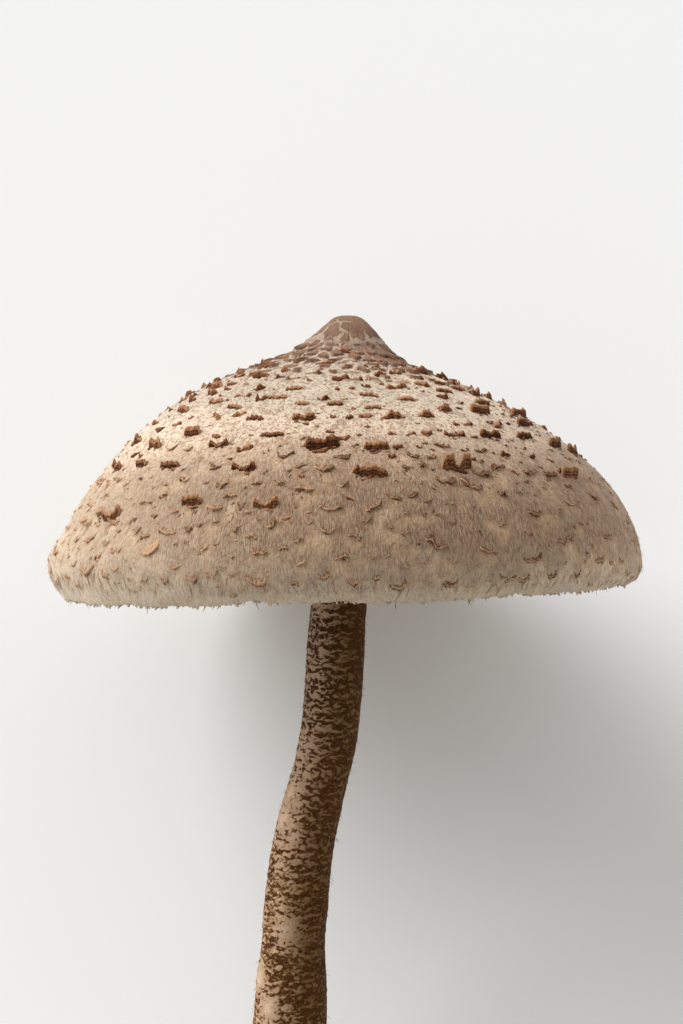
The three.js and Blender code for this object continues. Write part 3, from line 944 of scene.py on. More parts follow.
@dataclass(frozen=True)
class CapSkinFinish(Finish):
    """Cream skin with tan felt round its scales, greyer at the margin, and brown plates on the crown."""

    name: str = "cap_skin"
    sheen: float = 0.12
    bump_depth: float = 0.0004
    bump_strength: float = 0.7
    umbo_brown: Colour = rgb(168, 128, 102)
    umbo_dark: Colour = rgb(110, 72, 50)
    crack: Colour = rgb(216, 196, 178)
    plate_light: Colour = rgb(162, 116, 84)
    plate_dark: Colour = rgb(106, 62, 36)
    cream: Colour = rgb(228, 210, 188)
    silk: Colour = rgb(198, 176, 150)
    grey: Colour = rgb(182, 166, 144)
    tan: Colour = rgb(184, 147, 108)
    brown: Colour = rgb(160, 121, 83)
    hollow: Colour = rgb(112, 74, 46)
    fleck: Colour = rgb(134, 98, 68)
    pale_fibre: Colour = rgb(230, 214, 190)
    inside: Colour = rgb(226, 208, 178)

    def pattern(self, net: Paint) -> Look:
        """Steered by the attributes zone, plate, tint, felt, covered, bleach and inner.

        Args:
            net: the material's nodes.

        Returns:
            Colour, roughness and height.
        """
        zone = net.attribute("zone")
        streaks = net.fibres(760.0, 26.0, 0.006)
        frayed = net.add(zone, net.span(streaks["Height"], 0.3, 0.7, -0.04, 0.04))
        ground = net.ramp(frayed, (
            (0.0, self.crack), (0.13, self.crack), (0.22, self.cream), (0.55, self.cream),
            (0.72, self.silk), (0.86, self.silk), (0.95, self.grey),
        ))
        fine = net.fibres(1400.0, 56.0, 0.006)
        patches = net.mottle(110.0)
        felted = net.add(net.attribute("felt"), net.span(streaks["Height"], 0.3, 0.7, -0.3, 0.3))
        felted = net.add(felted, net.span(patches["Tone"], 0.36, 0.62, 0.2, 0.45), True)
        low = net.span(zone, 0.4, 0.76, 0.12, 0.95)
        # Less felt towards -X paints light on the lit side.
        felted = net.times(felted, net.times(low, net.attribute("painted_light_felt_share")))
        felted = net.times(felted, net.span(zone, 0.84, 0.96, 1.0, 0.5))
        tan = net.blend(net.times(fine["Mask"], 0.7), self.brown, self.tan)
        hollow = net.add(net.attribute("felt"), net.span(fine["Height"], 0.3, 0.7, -0.4, 0.4))
        hollow = net.times(net.span(hollow, 0.6, 1.3), 0.9)
        tan = net.blend(hollow, tan, self.hollow)
        ground = net.blend(felted, ground, tan)
        ground = net.blend(net.times(fine["Mask"], 0.34), ground, self.pale_fibre)
        flecks = net.flecks(1500.0, 0.11)
        coarse = net.flecks(420.0, 0.07)
        high = net.span(zone, 0.55, 0.85, 1.0, 0.35)
        ground = net.blend(net.times(flecks["Mask"], net.times(high, 0.7)), ground, self.fleck)
        ground = net.blend(net.times(coarse["Mask"], net.times(high, 0.5)), ground, self.fleck)
        mottle = net.mottle(150.0)
        tint = net.attribute("tint")
        # The plates' tint holds random tone and painted shade at their outer edges.
        plate = net.blend(net.span(tint, 0.2, 0.9), self.plate_light, self.plate_dark)
        umbo = net.blend(net.span(mottle["Tone"], 0.35, 0.7), self.umbo_brown, self.umbo_dark)
        wander = net.noise(net.place(), Scale=260.0)
        astray = net.blend(0.004, net.place(), wander.outputs["Color"])
        cells = net.node("ShaderNodeTexVoronoi", feature="DISTANCE_TO_EDGE")
        net.fill(cells, {"Vector": astray, "Scale": 180.0})
        wide = net.span(mottle["Tone"], 0.4, 0.62, 0.01, 0.15)
        lines = net.math("LESS_THAN", cells.outputs["Distance"], wide)
        umbo = net.blend(net.times(lines, 0.8), umbo, self.crack)
        plate = net.blend(net.span(zone, 0.1, 0.17), umbo, plate)
        plate = net.blend(net.times(fine["Mask"], 0.25), plate, self.tan)
        speckle = net.mottle(900.0)
        plate = net.blend(net.span(speckle["Grain"], 0.42, 0.66, 0.0, 0.45), plate, self.hollow)
        colour = net.blend(net.attribute("plate"), ground, plate)
        tone = net.span(mottle["Tone"], 0.3, 0.7, 0.92, 1.05)
        # This attribute multiplies painted light and shade into the skin's colour, region by region.
        tone = net.times(tone, net.attribute("painted_light_tone"))
        shade = net.result("ShaderNodeCombineColor", (tone, tone, tone))
        colour = net.blend(1.0, colour, shade, "MULTIPLY")
        colour = net.blend(net.attribute("inner"), colour, self.inside)
        height = net.times(streaks["Height"], low)
        height = net.add(height, net.times(fine["Height"], 0.7))
        height = net.add(height, net.times(mottle["Grain"], 0.3))
        height = net.add(height, net.times(flecks["Mask"], 0.2))
        roughness = net.span(mottle["Grain"], 0.3, 0.7, 0.72, 0.92)
        return colour, roughness, height


@dataclass(frozen=True)
class ScaleFinish(Finish):
    """Fibrous flakes: dark at the crest and the steep face, lighter on the slope, with painted light and
    shade from the attribute dark laid over their browns.
    """

    name: str = "scale_skin"
    gloss: float = 0.12
    sheen: float = 0.05
    bump_depth: float = 0.0004
    bump_strength: float = 0.8
    dark: Colour = rgb(86, 46, 22)
    middle: Colour = rgb(140, 86, 50)
    light: Colour = rgb(190, 146, 108)
    across: float = 26.0

    def pattern(self, net: Paint) -> Look:
        """Steered by the attributes dark and tint.

        Args:
            net: the material's nodes.

        Returns:
            Colour, roughness and height.
        """
        streaks = net.fibres(self.across, 1.5)
        mottle = net.mottle(420.0)
        darkness = net.add(net.attribute("dark"), net.span(streaks["Height"], 0.3, 0.7, -0.35, 0.3))
        darkness = net.add(darkness, net.span(mottle["Grain"], 0.35, 0.65, -0.25, 0.25))
        darkness = net.add(darkness, net.span(net.attribute("tint"), 0.0, 1.0, -0.2, 0.25))
        # The darkness carries painted highlight and painted shade as well as the scale's browns.
        colour = net.ramp(darkness, ((0.0, self.light), (0.45, self.middle), (0.9, self.dark)))
        height = net.add(streaks["Height"], net.times(mottle["Grain"], 0.4))
        roughness = net.span(mottle["Grain"], 0.3, 0.7, 0.7, 0.9)
        return colour, roughness, height


LARGE_SKIN = ScaleFinish(
    name="large_skin", dark=rgb(82, 44, 22), middle=rgb(132, 82, 48), light=rgb(180, 132, 94),
)
TUFT_SKIN = ScaleFinish(
    name="tuft_skin", dark=rgb(96, 58, 30), middle=rgb(142, 102, 70), light=rgb(192, 156, 124),
)
LIP_SKIN = ScaleFinish(
    name="lip_skin", dark=rgb(98, 62, 36), middle=rgb(144, 106, 76), light=rgb(198, 161, 128), across=30.0,
)


@dataclass(frozen=True)
class FibreFinish(Finish):
    """Loose fibres, each with its own tint between two colours."""

    name: str = "fibre"
    sheen: float = 0.1
    first: Colour = rgb(206, 178, 146)
    second: Colour = rgb(126, 88, 60)

    def pattern(self, net: Paint) -> Look:
        """Steered by the attribute tint.

        Args:
            net: the material's nodes.

        Returns:
            Colour, roughness and height.
        """
        mottle = net.mottle(300.0)
        share = net.add(net.attribute("tint"), net.span(mottle["Tone"], 0.3, 0.7, -0.15, 0.15))
        colour = net.ramp(share, ((0.0, self.first), (1.0, self.second)))
        return colour, 0.85, mottle["Grain"]


CAP_FIBRE = FibreFinish(first=rgb(206, 180, 150), second=rgb(140, 102, 72))
FLECK = FibreFinish(name="fleck", first=rgb(178, 140, 106), second=rgb(98, 62, 36))
FRINGE = FibreFinish(name="fringe", first=rgb(206, 192, 168), second=rgb(92, 64, 44))
STEM_HAIR = FibreFinish(name="stem_hair", first=rgb(232, 222, 204), second=rgb(70, 44, 28))
RING_HAIR = FibreFinish(name="ring_hair")


@dataclass(frozen=True)
class GillFinish(Finish):
    """Soft cream blades, a little browner at the free edge and towards the margin."""

    name: str = "gill_flesh"
    sheen: float = 0.05
    subsurface: float = 0.12
    bump_depth: float = 0.0001
    cream: Colour = rgb(240, 228, 202)
    deep: Colour = rgb(222, 200, 166)
    edge: Colour = rgb(212, 184, 146)

    def pattern(self, net: Paint) -> Look:
        """Steered by the attributes depth and tint.

        Args:
            net: the material's nodes.

        Returns:
            Colour, roughness and height.
        """
        mottle = net.mottle(90.0)
        veins = net.fibres(8.0, 30.0)
        tone = net.add(net.attribute("tint"), net.span(mottle["Tone"], 0.3, 0.7, -0.3, 0.3), True)
        colour = net.blend(tone, self.cream, self.deep)
        rim = net.times(net.span(net.attribute("depth"), 0.86, 1.0), 0.55)
        colour = net.blend(rim, colour, self.edge)
        return colour, 0.7, veins["Height"]


@dataclass(frozen=True)
class StemFinish(Finish):
    """Pale pinkish skin under dark brown broken bands, and white felt on the bulb."""

    name: str = "stem_skin"
    gloss: float = 0.08
    bump_depth: float = 0.0003
    ground: Colour = rgb(164, 126, 90)
    ground_pale: Colour = rgb(208, 180, 154)
    ground_pink: Colour = rgb(142, 104, 70)
    # Brown of the painted shade on the side away from the light.
    painted_shade_brown: Colour = rgb(104, 76, 40)
    band: Colour = rgb(58, 32, 6)
    band_light: Colour = rgb(92, 58, 26)
    felt: Colour = rgb(226, 214, 192)
    squeezes: tuple[Triple, Triple] = ((560.0, 900.0, 560.0), (1000.0, 1500.0, 1000.0))

    def pattern(self, net: Paint) -> Look:
        """Steered by the attributes cover, pale, dusk and felt.

        The bands are where two noises, one drawn out across the stem and one of small blots, together
        with the attribute cover, rise above a threshold.

        Args:
            net: the material's nodes.

        Returns:
            Colour, roughness and height.
        """
        rotation = {"Vector": net.place(), "Rotation": (-LYING_TILT, 0, 0)}
        place = net.fill(net.node("ShaderNodeMapping"), rotation).outputs["Vector"]
        squeezed = [net.vector("MULTIPLY", place, squeeze) for squeeze in self.squeezes]
        bands = net.noise(squeezed[0], Scale=1.0, Detail=0.5, Distortion=1.3)
        blots = net.noise(squeezed[1], Scale=1.0, Detail=1.0, Distortion=0.5)
        zigzag = net.node("ShaderNodeTexWave", bands_direction="Y")
        settings = {"Scale": 150.0, "Distortion": 7.0, "Detail": 1.0, "Detail Scale": 2.2}
        net.fill(zigzag, {"Vector": place, **settings})
        value = net.add(net.times(bands.outputs["Fac"], 0.6), net.times(blots.outputs["Fac"], 0.3))
        value = net.add(value, net.times(zigzag.outputs["Fac"], 0.13))
        value = net.add(value, net.attribute("cover"))
        banded = net.span(value, 0.44, 0.57)
        fibres = net.fibres(150.0, 40.0)
        mottle = net.mottle(260.0)
        ground = net.blend(net.span(mottle["Tone"], 0.35, 0.65), self.ground, self.ground_pink)
        pale = net.times(net.span(value, 0.46, 0.38), 0.6)
        # The pale attribute holds the bare patches and painted light on the lit upper side.
        ground = net.blend(net.math("MAXIMUM", net.attribute("pale"), pale), ground, self.ground_pale)
        ground = net.blend(net.times(fibres["Mask"], 0.3), ground, self.ground_pink)
        # Painted shade on the upper side away from the light.
        ground = net.blend(net.times(net.attribute("painted_shade_side"), 0.85), ground, self.painted_shade_brown)
        band = net.blend(net.span(mottle["Grain"], 0.35, 0.65), self.band, self.band_light)
        colour = net.blend(banded, ground, band)
        colour = net.blend(net.attribute("felt"), colour, self.felt)
        height = net.add(fibres["Height"], net.times(mottle["Grain"], 0.5))
        height = net.add(height, banded)
        roughness = net.span(mottle["Grain"], 0.3, 0.7, 0.62, 0.85)
        return colour, roughness, height


@dataclass(frozen=True)
class RingFinish(Finish):
    """Felt: whitish above, brown and scaly at the lower lip."""

    name: str = "ring_felt"
    sheen: float = 0.2
    bump_depth: float = 0.0003
    white: Colour = rgb(236, 224, 202)
    beige: Colour = rgb(206, 182, 150)
    brown: Colour = rgb(130, 90, 60)

    def pattern(self, net: Paint) -> Look:
        """Steered by the attribute brown.

        Args:
            net: the material's nodes.

        Returns:
            Colour, roughness and height.
        """
        mottle = net.mottle(260.0)
        fibres = net.fibres(120.0, 14.0)
        colour = net.blend(net.span(mottle["Tone"], 0.3, 0.7), self.white, self.beige)
        torn = net.span(fibres["Height"], 0.35, 0.65, -0.35, 0.25)
        colour = net.blend(net.add(net.attribute("brown"), torn, True), colour, self.brown)
        height = net.add(fibres["Height"], mottle["Grain"])
        return colour, 0.9, height


# ---- the cap's skin


@dataclass
class CapSkin:
    """The cap's skin and flesh: crown plates, fibrous ground, toothed margin and underside.

    The plates' spacing, gap, share kept and rise are given at distances from the apex, the rings of
    the rolled edge as share and depth, and those of the stem's socket as radius and rise.
    """

    cap: Cap
    lying: Lying
    columns: int = 448
    umbo_edge: float = 13.0
    crown_edge: float = 36.0
    umbo_rows: int = 42
    crown_rows: int = 82
    rest_rows: int = 64
    first_plates: float = 2.6
    plate_spacing: Pairs = ((0, 4.6), (8, 4.4), (14, 4.5), (22, 5.3), (36, 6.2))
    plate_gap: Pairs = ((0, 0.2), (9, 0.22), (14, 0.42), (20, 0.62), (28, 0.95), (36, 1.4))
    plate_kept: Pairs = ((20, 1.0), (28, 0.9), (36, 0.4))
    plate_rise: Pairs = ((10, 0.0), (16, 0.6), (22, 1.0))
    rolled_edge: Pairs = ((1.94, 0.12), (1.97, 0.45), (1.97, 1.0), (1.93, 1.4))
    socket: Pairs = ((8.0, 0), (7.6, 3.6), (0.1, 3.8))
    plate_height: float = 0.65
    undulation: float = 0.5
    ridge_height: float = 0.2
    felt_height: float = 0.22
    umbo_sink: float = 0.3
    wave: float = 0.5
    drift: float = 1.1
    tooth: float = 1.6
    fray: float = 0.4
    hang_noises: tuple[tuple[int, float], ...] = ((22, 3.5), (84, 7.5), (300, 9.5))
    seed: int = 11
    _noise: Noise = field(init=False)

    def __post_init__(self) -> None:
        """Draws the noise."""
        self._noise = Noise(self.seed)

    def plate_centres(self) -> Array:
        """Centres of the crown's plates, ring by ring, spaced wider away from the apex.

        Returns:
            Rows of x and y.
        """
        draw = default_rng(self.seed)
        centres, distance = [np.zeros((1, 2))], self.first_plates
        while distance < self.crown_edge + 3:
            spacing = float(between(distance, self.plate_spacing))
            count = max(5, round(TAU * distance / spacing))
            angle = (np.arange(count) + draw.random(count) * 0.8) * TAU / count
            reach = distance + (draw.random(count) - 0.5) * spacing * 0.7
            centres.append(np.stack([reach * np.cos(angle), reach * np.sin(angle)], axis=-1))
            distance += spacing * 0.74
        return np.concatenate(centres)

    def plates(self, azimuth: Array, distance: Array) -> tuple[Array, Array, Array]:
        """The skin of the crown torn into plates: cells round scattered centres, parted by gaps.

        A point belongs to its nearest centre. The gap is where the second nearest is almost as near.

        Args:
            azimuth: of each grid point.
            distance: of each grid point.

        Returns:
            Plate mask, a tint for each plate that is raised at its outer edge as painted shade, and the
            plate's height, all zero outside the crown.
        """
        warp = self._noise.around(azimuth, 70, distance / 1.4, 3) - 0.5
        sway = self._noise.fractal(azimuth / TAU * 70 + 9, distance / 1.4 + 31, 3, 70) - 0.5
        flat_x, flat_y = distance * np.cos(azimuth), distance * np.sin(azimuth)
        sealed = self._noise.fractal(flat_x / 4 + 60, flat_y / 4 + 60, 1)
        flat_x, flat_y = flat_x + 2.0 * warp, flat_y + 2.0 * sway
        centres = self.plate_centres()
        tints = default_rng(self.seed + 1).random((len(centres), 2))
        mask, tint, height = (np.zeros(azimuth.shape) for _ in range(3))
        for row in range(azimuth.shape[0]):
            if distance[row, 0] > self.crown_edge:
                break
            apart = np.hypot(flat_x[row][:, None] - centres[:, 0], flat_y[row][:, None] - centres[:, 1])
            order = np.argpartition(apart, 1, axis=1)[:, :2]
            nearest_two = np.take_along_axis(apart, order, axis=1)
            nearest = order[np.arange(len(order)), np.argmin(nearest_two, axis=1)]
            border = np.abs(nearest_two[:, 1] - nearest_two[:, 0]) / 2
            level = distance[row, 0]
            inward = level - 5.0 * np.clip(np.cos(azimuth[row] + 0.2), 0, 1)
            gap = between(inward, self.plate_gap)
            kept = tints[nearest, 1] < between(inward, self.plate_kept)
            whole = ease(0.56, 0.66, sealed[row]) * ease(14, 8, inward)
            mask[row] = np.maximum(ease(gap - 0.4, gap - 0.12, border) * kept, whole)
            beyond = level - np.hypot(centres[nearest, 0], centres[nearest, 1])
            # Darker tint at each plate's outer edge: painted shade under its lifted rim.
            edge = ease(-0.2, 1.2, beyond) * ease(gap + 0.9, gap, border)
            tint[row] = 0.55 * tints[nearest, 0] + 0.7 * edge
            lifted = ease(-1.2, 2.0, beyond) * between(level, self.plate_rise)
            raised = ease(gap - 0.06, gap + 0.12, border) * kept
            height[row] = raised * self.plate_height * (0.15 * (level > 10) + lifted)
        return mask, tint, height

    def felt(self, azimuth: Array, distance: Array, scales: Array) -> Array:
        """Tan felt above each scale: humps that fade towards the apex and stop at the scale's edge.

        Args:
            azimuth: of each grid point.
            distance: of each grid point.
            scales: rows of azimuth, distance, width, lift and reach.

        Returns:
            Share of felt between 0 and 1.
        """
        radius = self.cap.column("r", distance)
        total = np.zeros(azimuth.shape)
        for turn, level, width, _, _ in scales:
            near = np.abs(distance[:, 0] - level) < 3 * width + 3
            across = degrees_apart(azimuth[near], turn) * radius[near] / (0.6 * width + 0.3)
            ahead = distance[near] - level
            broad = np.exp(-((ahead + 0.8 * width + 0.5) / (1.0 * width + 0.8)) ** 2)
            core = np.exp(-((ahead + 0.3 * width + 0.3) / (0.4 * width + 0.3)) ** 2)
            total[near] += np.exp(-(across ** 2)) * (0.7 * broad + 1.1 * core) * ease(0.6, -0.1, ahead)
        streak = self._noise.around(azimuth, 260, distance / 3, 3)
        return np.clip(total * (0.3 + 1.4 * streak), 0, 2)

    def painted_light_felt_share(self, azimuth: Array) -> Array:
        """Share of tan felt that is left at an azimuth: least towards -X, the side the light comes from, so
        that it is paler there as painted light.
        """
        return 1 - 0.7 * towards(azimuth, -1) ** 2

    @staticmethod
    def painted_light_tone(azimuth: Array, zone: Array) -> Array:
        """Painted light and shade on the skin's tone: paler at the two flanks' margin and on the edge,
        darker low in the middle.

        Args:
            azimuth: of the skin.
            zone: distance as a share of the whole.

        Returns:
            The tone.
        """
        flank = np.abs(np.cos(azimuth)) ** 3 * ease(0.6, 0.9, zone)
        middle = (1 - np.abs(np.cos(azimuth))) * ease(0.55, 0.75, zone) * ease(1.0, 0.88, zone)
        crown = ease(0.6, 0.42, zone)
        waist = ease(0.42, 0.58, zone) * ease(0.78, 0.62, zone)
        edge = ease(0.9, 1.0, zone)
        left = towards(azimuth, -1)
        right = towards(azimuth, 1) * ease(0.2, 0.3, zone)
        tone = 1.08 + 0.34 * flank - 0.12 * middle + 0.2 * waist + 0.07 * right
        tone = tone + edge * (0.05 + 0.15 * left - 0.3 * right)
        tone = tone - crown * (0.23 + 0.05 * left - 0.24 * right)
        return tone - 0.08 * left * ease(0.58, 0.8, zone) * ease(1.0, 0.9, zone)

    def hang(self, azimuth: Array) -> Array:
        """How far the margin's edge hangs below its level: slow waves and small torn teeth.

        Args:
            azimuth: along the edge.

        Returns:
            Millimetres down.
        """
        around = azimuth / TAU
        drift, tooth, fine = (self._noise.field(around * n, row, n) for n, row in self.hang_noises)
        waves = self.wave * np.sin(5 * azimuth + 1) + self.drift * (drift - 0.5)
        return waves - self.tooth * np.abs(tooth - 0.5) + self.fray * fine

    def build(self, material: Material, scales: Array) -> None:
        """Makes the closed skin: outside, rolled edge, underside and socket, as rings round the axis.

        Args:
            material: its finish.
            scales: rows of azimuth, distance, width, lift and reach, for the felt.
        """
        cap = self.cap
        azimuth = columns_round(self.columns)
        umbo = np.linspace(0.15, self.umbo_edge, self.umbo_rows)
        crown = np.linspace(self.umbo_edge, self.crown_edge, self.crown_rows)[1:]
        rest = np.linspace(self.crown_edge, cap.distance_at(1.9), self.rest_rows)[1:]
        distance = np.concatenate([umbo, crown, rest])[:, None]
        turn, level = np.broadcast_arrays(azimuth[None, :], distance)
        plate, tint, relief = self.plates(turn, level)
        low = ease(35, 75, level)
        felt = self.felt(turn, level, scales)
        ridge = self._noise.around(turn, 420, level / 4.5) - 0.5
        swell = self._noise.around(turn, 16, level / 17) - 0.5
        relief = relief + ridge * self.ridge_height * (0.35 + 1.3 * low) + self.felt_height * felt
        relief = relief + swell * self.undulation * ease(4, 22, level)
        relief = relief - self.umbo_sink * (ease(14, 8, level) + bump(level, 5.5, 2.6))
        hang = self.hang(azimuth)[None, :]
        outside = cap.point(turn, level, relief)
        share = cap.column("w", level)
        outside[..., 2] -= hang * ease(1.45, 1.9, share)
        edge = cap.below(azimuth[None, :], *np.transpose(self.rolled_edge)[:, :, None])
        edge[..., 2] -= hang
        under_w = np.concatenate([[1.85], np.linspace(1.7, 0.12, 20)])[:, None]
        under = cap.below(azimuth[None, :], under_w, cap.flesh(under_w) + 0 * azimuth[None, :])
        under[0, :, 2] -= 0.6 * hang[0]
        floor = float(under[-1, 0, 2])
        socket = np.stack([polar(radius, azimuth, floor + rise) for radius, rise in self.socket])
        rings = np.concatenate([outside, edge, under, socket])
        extra = len(rings) - len(outside)
        zone = np.concatenate([level / cap.distance_at(2), np.ones((extra, self.columns))])
        inner = (np.arange(len(rings)) > len(outside))[:, None] + 0 * zone
        pad = np.zeros((extra, self.columns))
        attributes = {
            "zone": zone, "plate": np.concatenate([plate, pad]), "tint": np.concatenate([tint, pad]),
            "felt": np.concatenate([felt, pad]), "inner": inner,
            "painted_light_felt_share": self.painted_light_felt_share(azimuth)[None, :] + 0 * zone,
            "painted_light_tone": self.painted_light_tone(azimuth[None, :], zone),
        }
        uv = skin_uv(np.linalg.norm(np.diff(rings[:, 0], axis=0), axis=-1), self.columns)
        Sheaf.piece("cap_skin", self.lying, rings[None], attributes, material, Slot.CAP, ("cap",), uv)


# ---- the cap's scales


class Draws:
    """Repeatable draws between 0 and 1, which place and size the ruled scales."""

    def __init__(self, seed: int) -> None:
        """Sets the first state."""
        self.state = seed

    def next(self) -> float:
        """The next draw: the state times 16807, modulo 2147483647."""
        self.state = self.state * 16807 % 2147483647
        return self.state / 2147483647


class ScaleKind(Enum):
    """The ways a scale stands on the cap."""

    LARGE = "large"
    SMALL = "small"
    LIP = "lip"
    TUFT = "tuft"
    CRUMB = "crumb"


class Crest(Enum):
    """Heights across the free edge of a scale, as shares of its lift."""

    TABS = (0.97, 1.0, 0.96, 1.0, 0.3, 0.3, 1.0, 1.0, 0.97, 1.0)
    PEAKS = (0.7, 0.95, 0.75, 0.7, 0.6, 0.62, 0.85, 1.0, 0.75, 0.5)
    KNOB = (0.65, 0.9, 1.0, 0.95, 0.85, 0.9, 1.0, 0.95, 0.85, 0.6)
    CRESCENT = (1.0, 0.8, 0.55, 0.45, 0.4, 0.42, 0.5, 0.65, 0.85, 1.0)
    SPIRE = (0.2, 0.35, 0.4, 0.6, 1.0, 0.75, 0.85, 0.45, 0.35, 0.2)
    TORN = (0.35, 0.8, 0.6, 0.9, 0.7, 1.0, 0.65, 0.8, 0.5, 0.4)


@dataclass(frozen=True)
class Flake:
    """One large scale: azimuth in degrees, distance from the apex, width, lift and crest."""

    azimuth: float
    distance: float
    width: float
    lift: float
    crest: Crest


@dataclass(frozen=True)
class ScaleZone:
    """Scales of one kind on a golden-angle spiral between two distances from the apex."""

    kind: ScaleKind
    start: float
    end: float
    count: int
    width: float
    lift: float
    reach: float


@dataclass
class ScalePlan:
    """Where the scales grow: the large ones one by one, the others zone by zone."""

    cap: Cap
    large: tuple[Flake, ...] = (
        Flake(-95, 66, 6.6, 2.8, Crest.PEAKS), Flake(-66, 72, 6.2, 3.5, Crest.TABS),
        Flake(-34, 74, 7.2, 2.6, Crest.KNOB), Flake(-132, 61, 4.4, 2.4, Crest.KNOB),
        Flake(-121, 65, 4.4, 2.1, Crest.CRESCENT), Flake(-105, 82, 5.0, 2.5, Crest.CRESCENT),
        Flake(-121, 81, 4.8, 2.2, Crest.TORN), Flake(-143, 84, 6.2, 2.4, Crest.CRESCENT),
        Flake(-85, 74, 6.8, 2.5, Crest.TORN), Flake(-132, 71, 6.2, 1.8, Crest.TORN),
        Flake(-112, 72, 5.0, 2.0, Crest.CRESCENT), Flake(-108, 62, 5.2, 1.4, Crest.TORN),
        Flake(-115, 56, 4.4, 1.6, Crest.TORN), Flake(-101, 56, 4.6, 2.0, Crest.PEAKS),
        Flake(-91, 55, 4.6, 1.2, Crest.CRESCENT), Flake(-93, 50, 3.4, 1.3, Crest.KNOB),
        Flake(-103, 50, 3.8, 1.4, Crest.TORN), Flake(-112, 47.5, 4.2, 1.4, Crest.KNOB),
        Flake(-125, 51, 4.4, 1.5, Crest.TORN), Flake(-126, 46, 4.0, 1.5, Crest.CRESCENT),
        Flake(-135, 49, 4.2, 1.6, Crest.PEAKS), Flake(-150, 41, 4.8, 1.9, Crest.TORN),
        Flake(-148, 52, 5.0, 1.9, Crest.TORN), Flake(-144, 64, 5.4, 2.3, Crest.PEAKS),
        Flake(-159, 62, 5.2, 2.4, Crest.SPIRE), Flake(-143, 70, 4.4, 2.0, Crest.TORN),
        Flake(-157, 70, 6.4, 2.3, Crest.CRESCENT), Flake(-108, 43, 4.2, 1.5, Crest.TORN),
        Flake(-90, 42, 4.0, 1.3, Crest.CRESCENT), Flake(-82, 45, 4.4, 1.3, Crest.TORN),
        Flake(-82, 51, 3.6, 1.2, Crest.KNOB), Flake(-77, 55, 5.6, 2.3, Crest.SPIRE),
        Flake(-67, 54, 4.2, 2.3, Crest.SPIRE), Flake(-70, 47, 6.4, 1.6, Crest.SPIRE),
        Flake(-76, 61, 6.0, 0.9, Crest.CRESCENT), Flake(-83, 66, 5.0, 1.7, Crest.KNOB),
        Flake(-59, 51, 4.0, 2.5, Crest.SPIRE), Flake(-45, 51, 5.4, 2.3, Crest.KNOB),
        Flake(-57, 57, 5.0, 1.2, Crest.CRESCENT), Flake(-62, 61, 4.8, 1.3, Crest.CRESCENT),
        Flake(-51, 61, 5.4, 1.9, Crest.PEAKS), Flake(-30, 55.5, 5.4, 2.2, Crest.TORN),
        Flake(-38, 61, 5.4, 1.8, Crest.TORN), Flake(-49, 41, 4.8, 1.5, Crest.TORN),
        Flake(-36, 46, 5.0, 1.7, Crest.TORN), Flake(-27, 64, 5.6, 2.6, Crest.KNOB),
        Flake(-18, 66, 5.4, 2.6, Crest.PEAKS), Flake(-23, 50, 5.0, 2.0, Crest.TORN),
    )
    zones: tuple[ScaleZone, ...] = (
        ScaleZone(ScaleKind.SMALL, 18, 27, 60, 6.4, 1.0, 4.0),
        ScaleZone(ScaleKind.SMALL, 27, 50, 230, 5.9, 1.7, 3.6),
        ScaleZone(ScaleKind.SMALL, 24, 69, 400, 3.5, 1.2, 2.3),
        ScaleZone(ScaleKind.SMALL, 66, 94, 70, 3.4, 0.8, 2.6),
        ScaleZone(ScaleKind.LIP, 64, 100, 1150, 5.0, 1.2, 2.6),
        ScaleZone(ScaleKind.LIP, 62, 98, 900, 2.9, 1.0, 2.0),
        ScaleZone(ScaleKind.TUFT, 34, 101, 1900, 2.2, 0.75, 1.6),
        ScaleZone(ScaleKind.CRUMB, 24, 68, 1500, 1.3, 0.6, 0.9),
    )
    reach: float = 3.2
    upright: float = 0.78
    golden_angle: float = 137.508
    seed: int = 771
    _rows: dict[ScaleKind, Array] = field(init=False)

    def __post_init__(self) -> None:
        """Places every scale, the large ones first, so that none stands on another."""
        rows = {kind: [] for kind in ScaleKind}
        for flake in self.large:
            azimuth, lift = math.radians(flake.azimuth), self.upright * flake.lift
            rows[ScaleKind.LARGE].append((azimuth, flake.distance, flake.width, lift, self.reach))
        taken = list(rows[ScaleKind.LARGE])
        draws = Draws(self.seed)
        for zone in self.zones:
            for index in range(zone.count):
                share = (index + 0.5) / zone.count
                distance = math.sqrt(zone.start ** 2 + share * (zone.end ** 2 - zone.start ** 2))
                distance += 3 * (draws.next() - 0.5)
                azimuth = math.radians(index * self.golden_angle + 16 * (draws.next() - 0.5))
                size = 0.5 + 0.9 * draws.next() ** 1.3
                low = 1 - 0.5 * float(ease(86, 100, np.array(distance)))
                low *= 1 - 0.4 * math.cos(azimuth) ** 6 * float(ease(45, 70, np.array(distance)))
                lift = low * zone.lift * (0.5 + 0.5 * size)
                row = (azimuth, distance, zone.width * size, lift, zone.reach * size)
                if self._has_room(row, taken):
                    taken.append(row)
                    rows[zone.kind].append(row)
        for azimuth, distance, width, lift, _ in rows[ScaleKind.LARGE]:
            rows[ScaleKind.CRUMB].append((azimuth, distance + 0.9, 0.85 * width, 0.32 * lift, 1.2))
        for host in rows[ScaleKind.LARGE] * 3 + rows[ScaleKind.SMALL] * 2:
            azimuth, distance, width, lift, _ = host
            aside = (draws.next() - 0.5) * 0.9 * width / float(self.cap.column("r", distance))
            along = 2.2 * (draws.next() - 0.6)
            size = 0.7 + 1.2 * draws.next()
            tall = min(lift, 1.8) * (0.3 + 0.4 * draws.next())
            rows[ScaleKind.CRUMB].append((azimuth + aside, distance + along, size, tall, 0.8 * size))
        self._rows = {kind: np.array(placed) for kind, placed in rows.items()}

    def places(self, kind: ScaleKind) -> Array:
        """Scales of one kind as rows of azimuth in radians, distance, width, lift and reach."""
        return self._rows[kind]

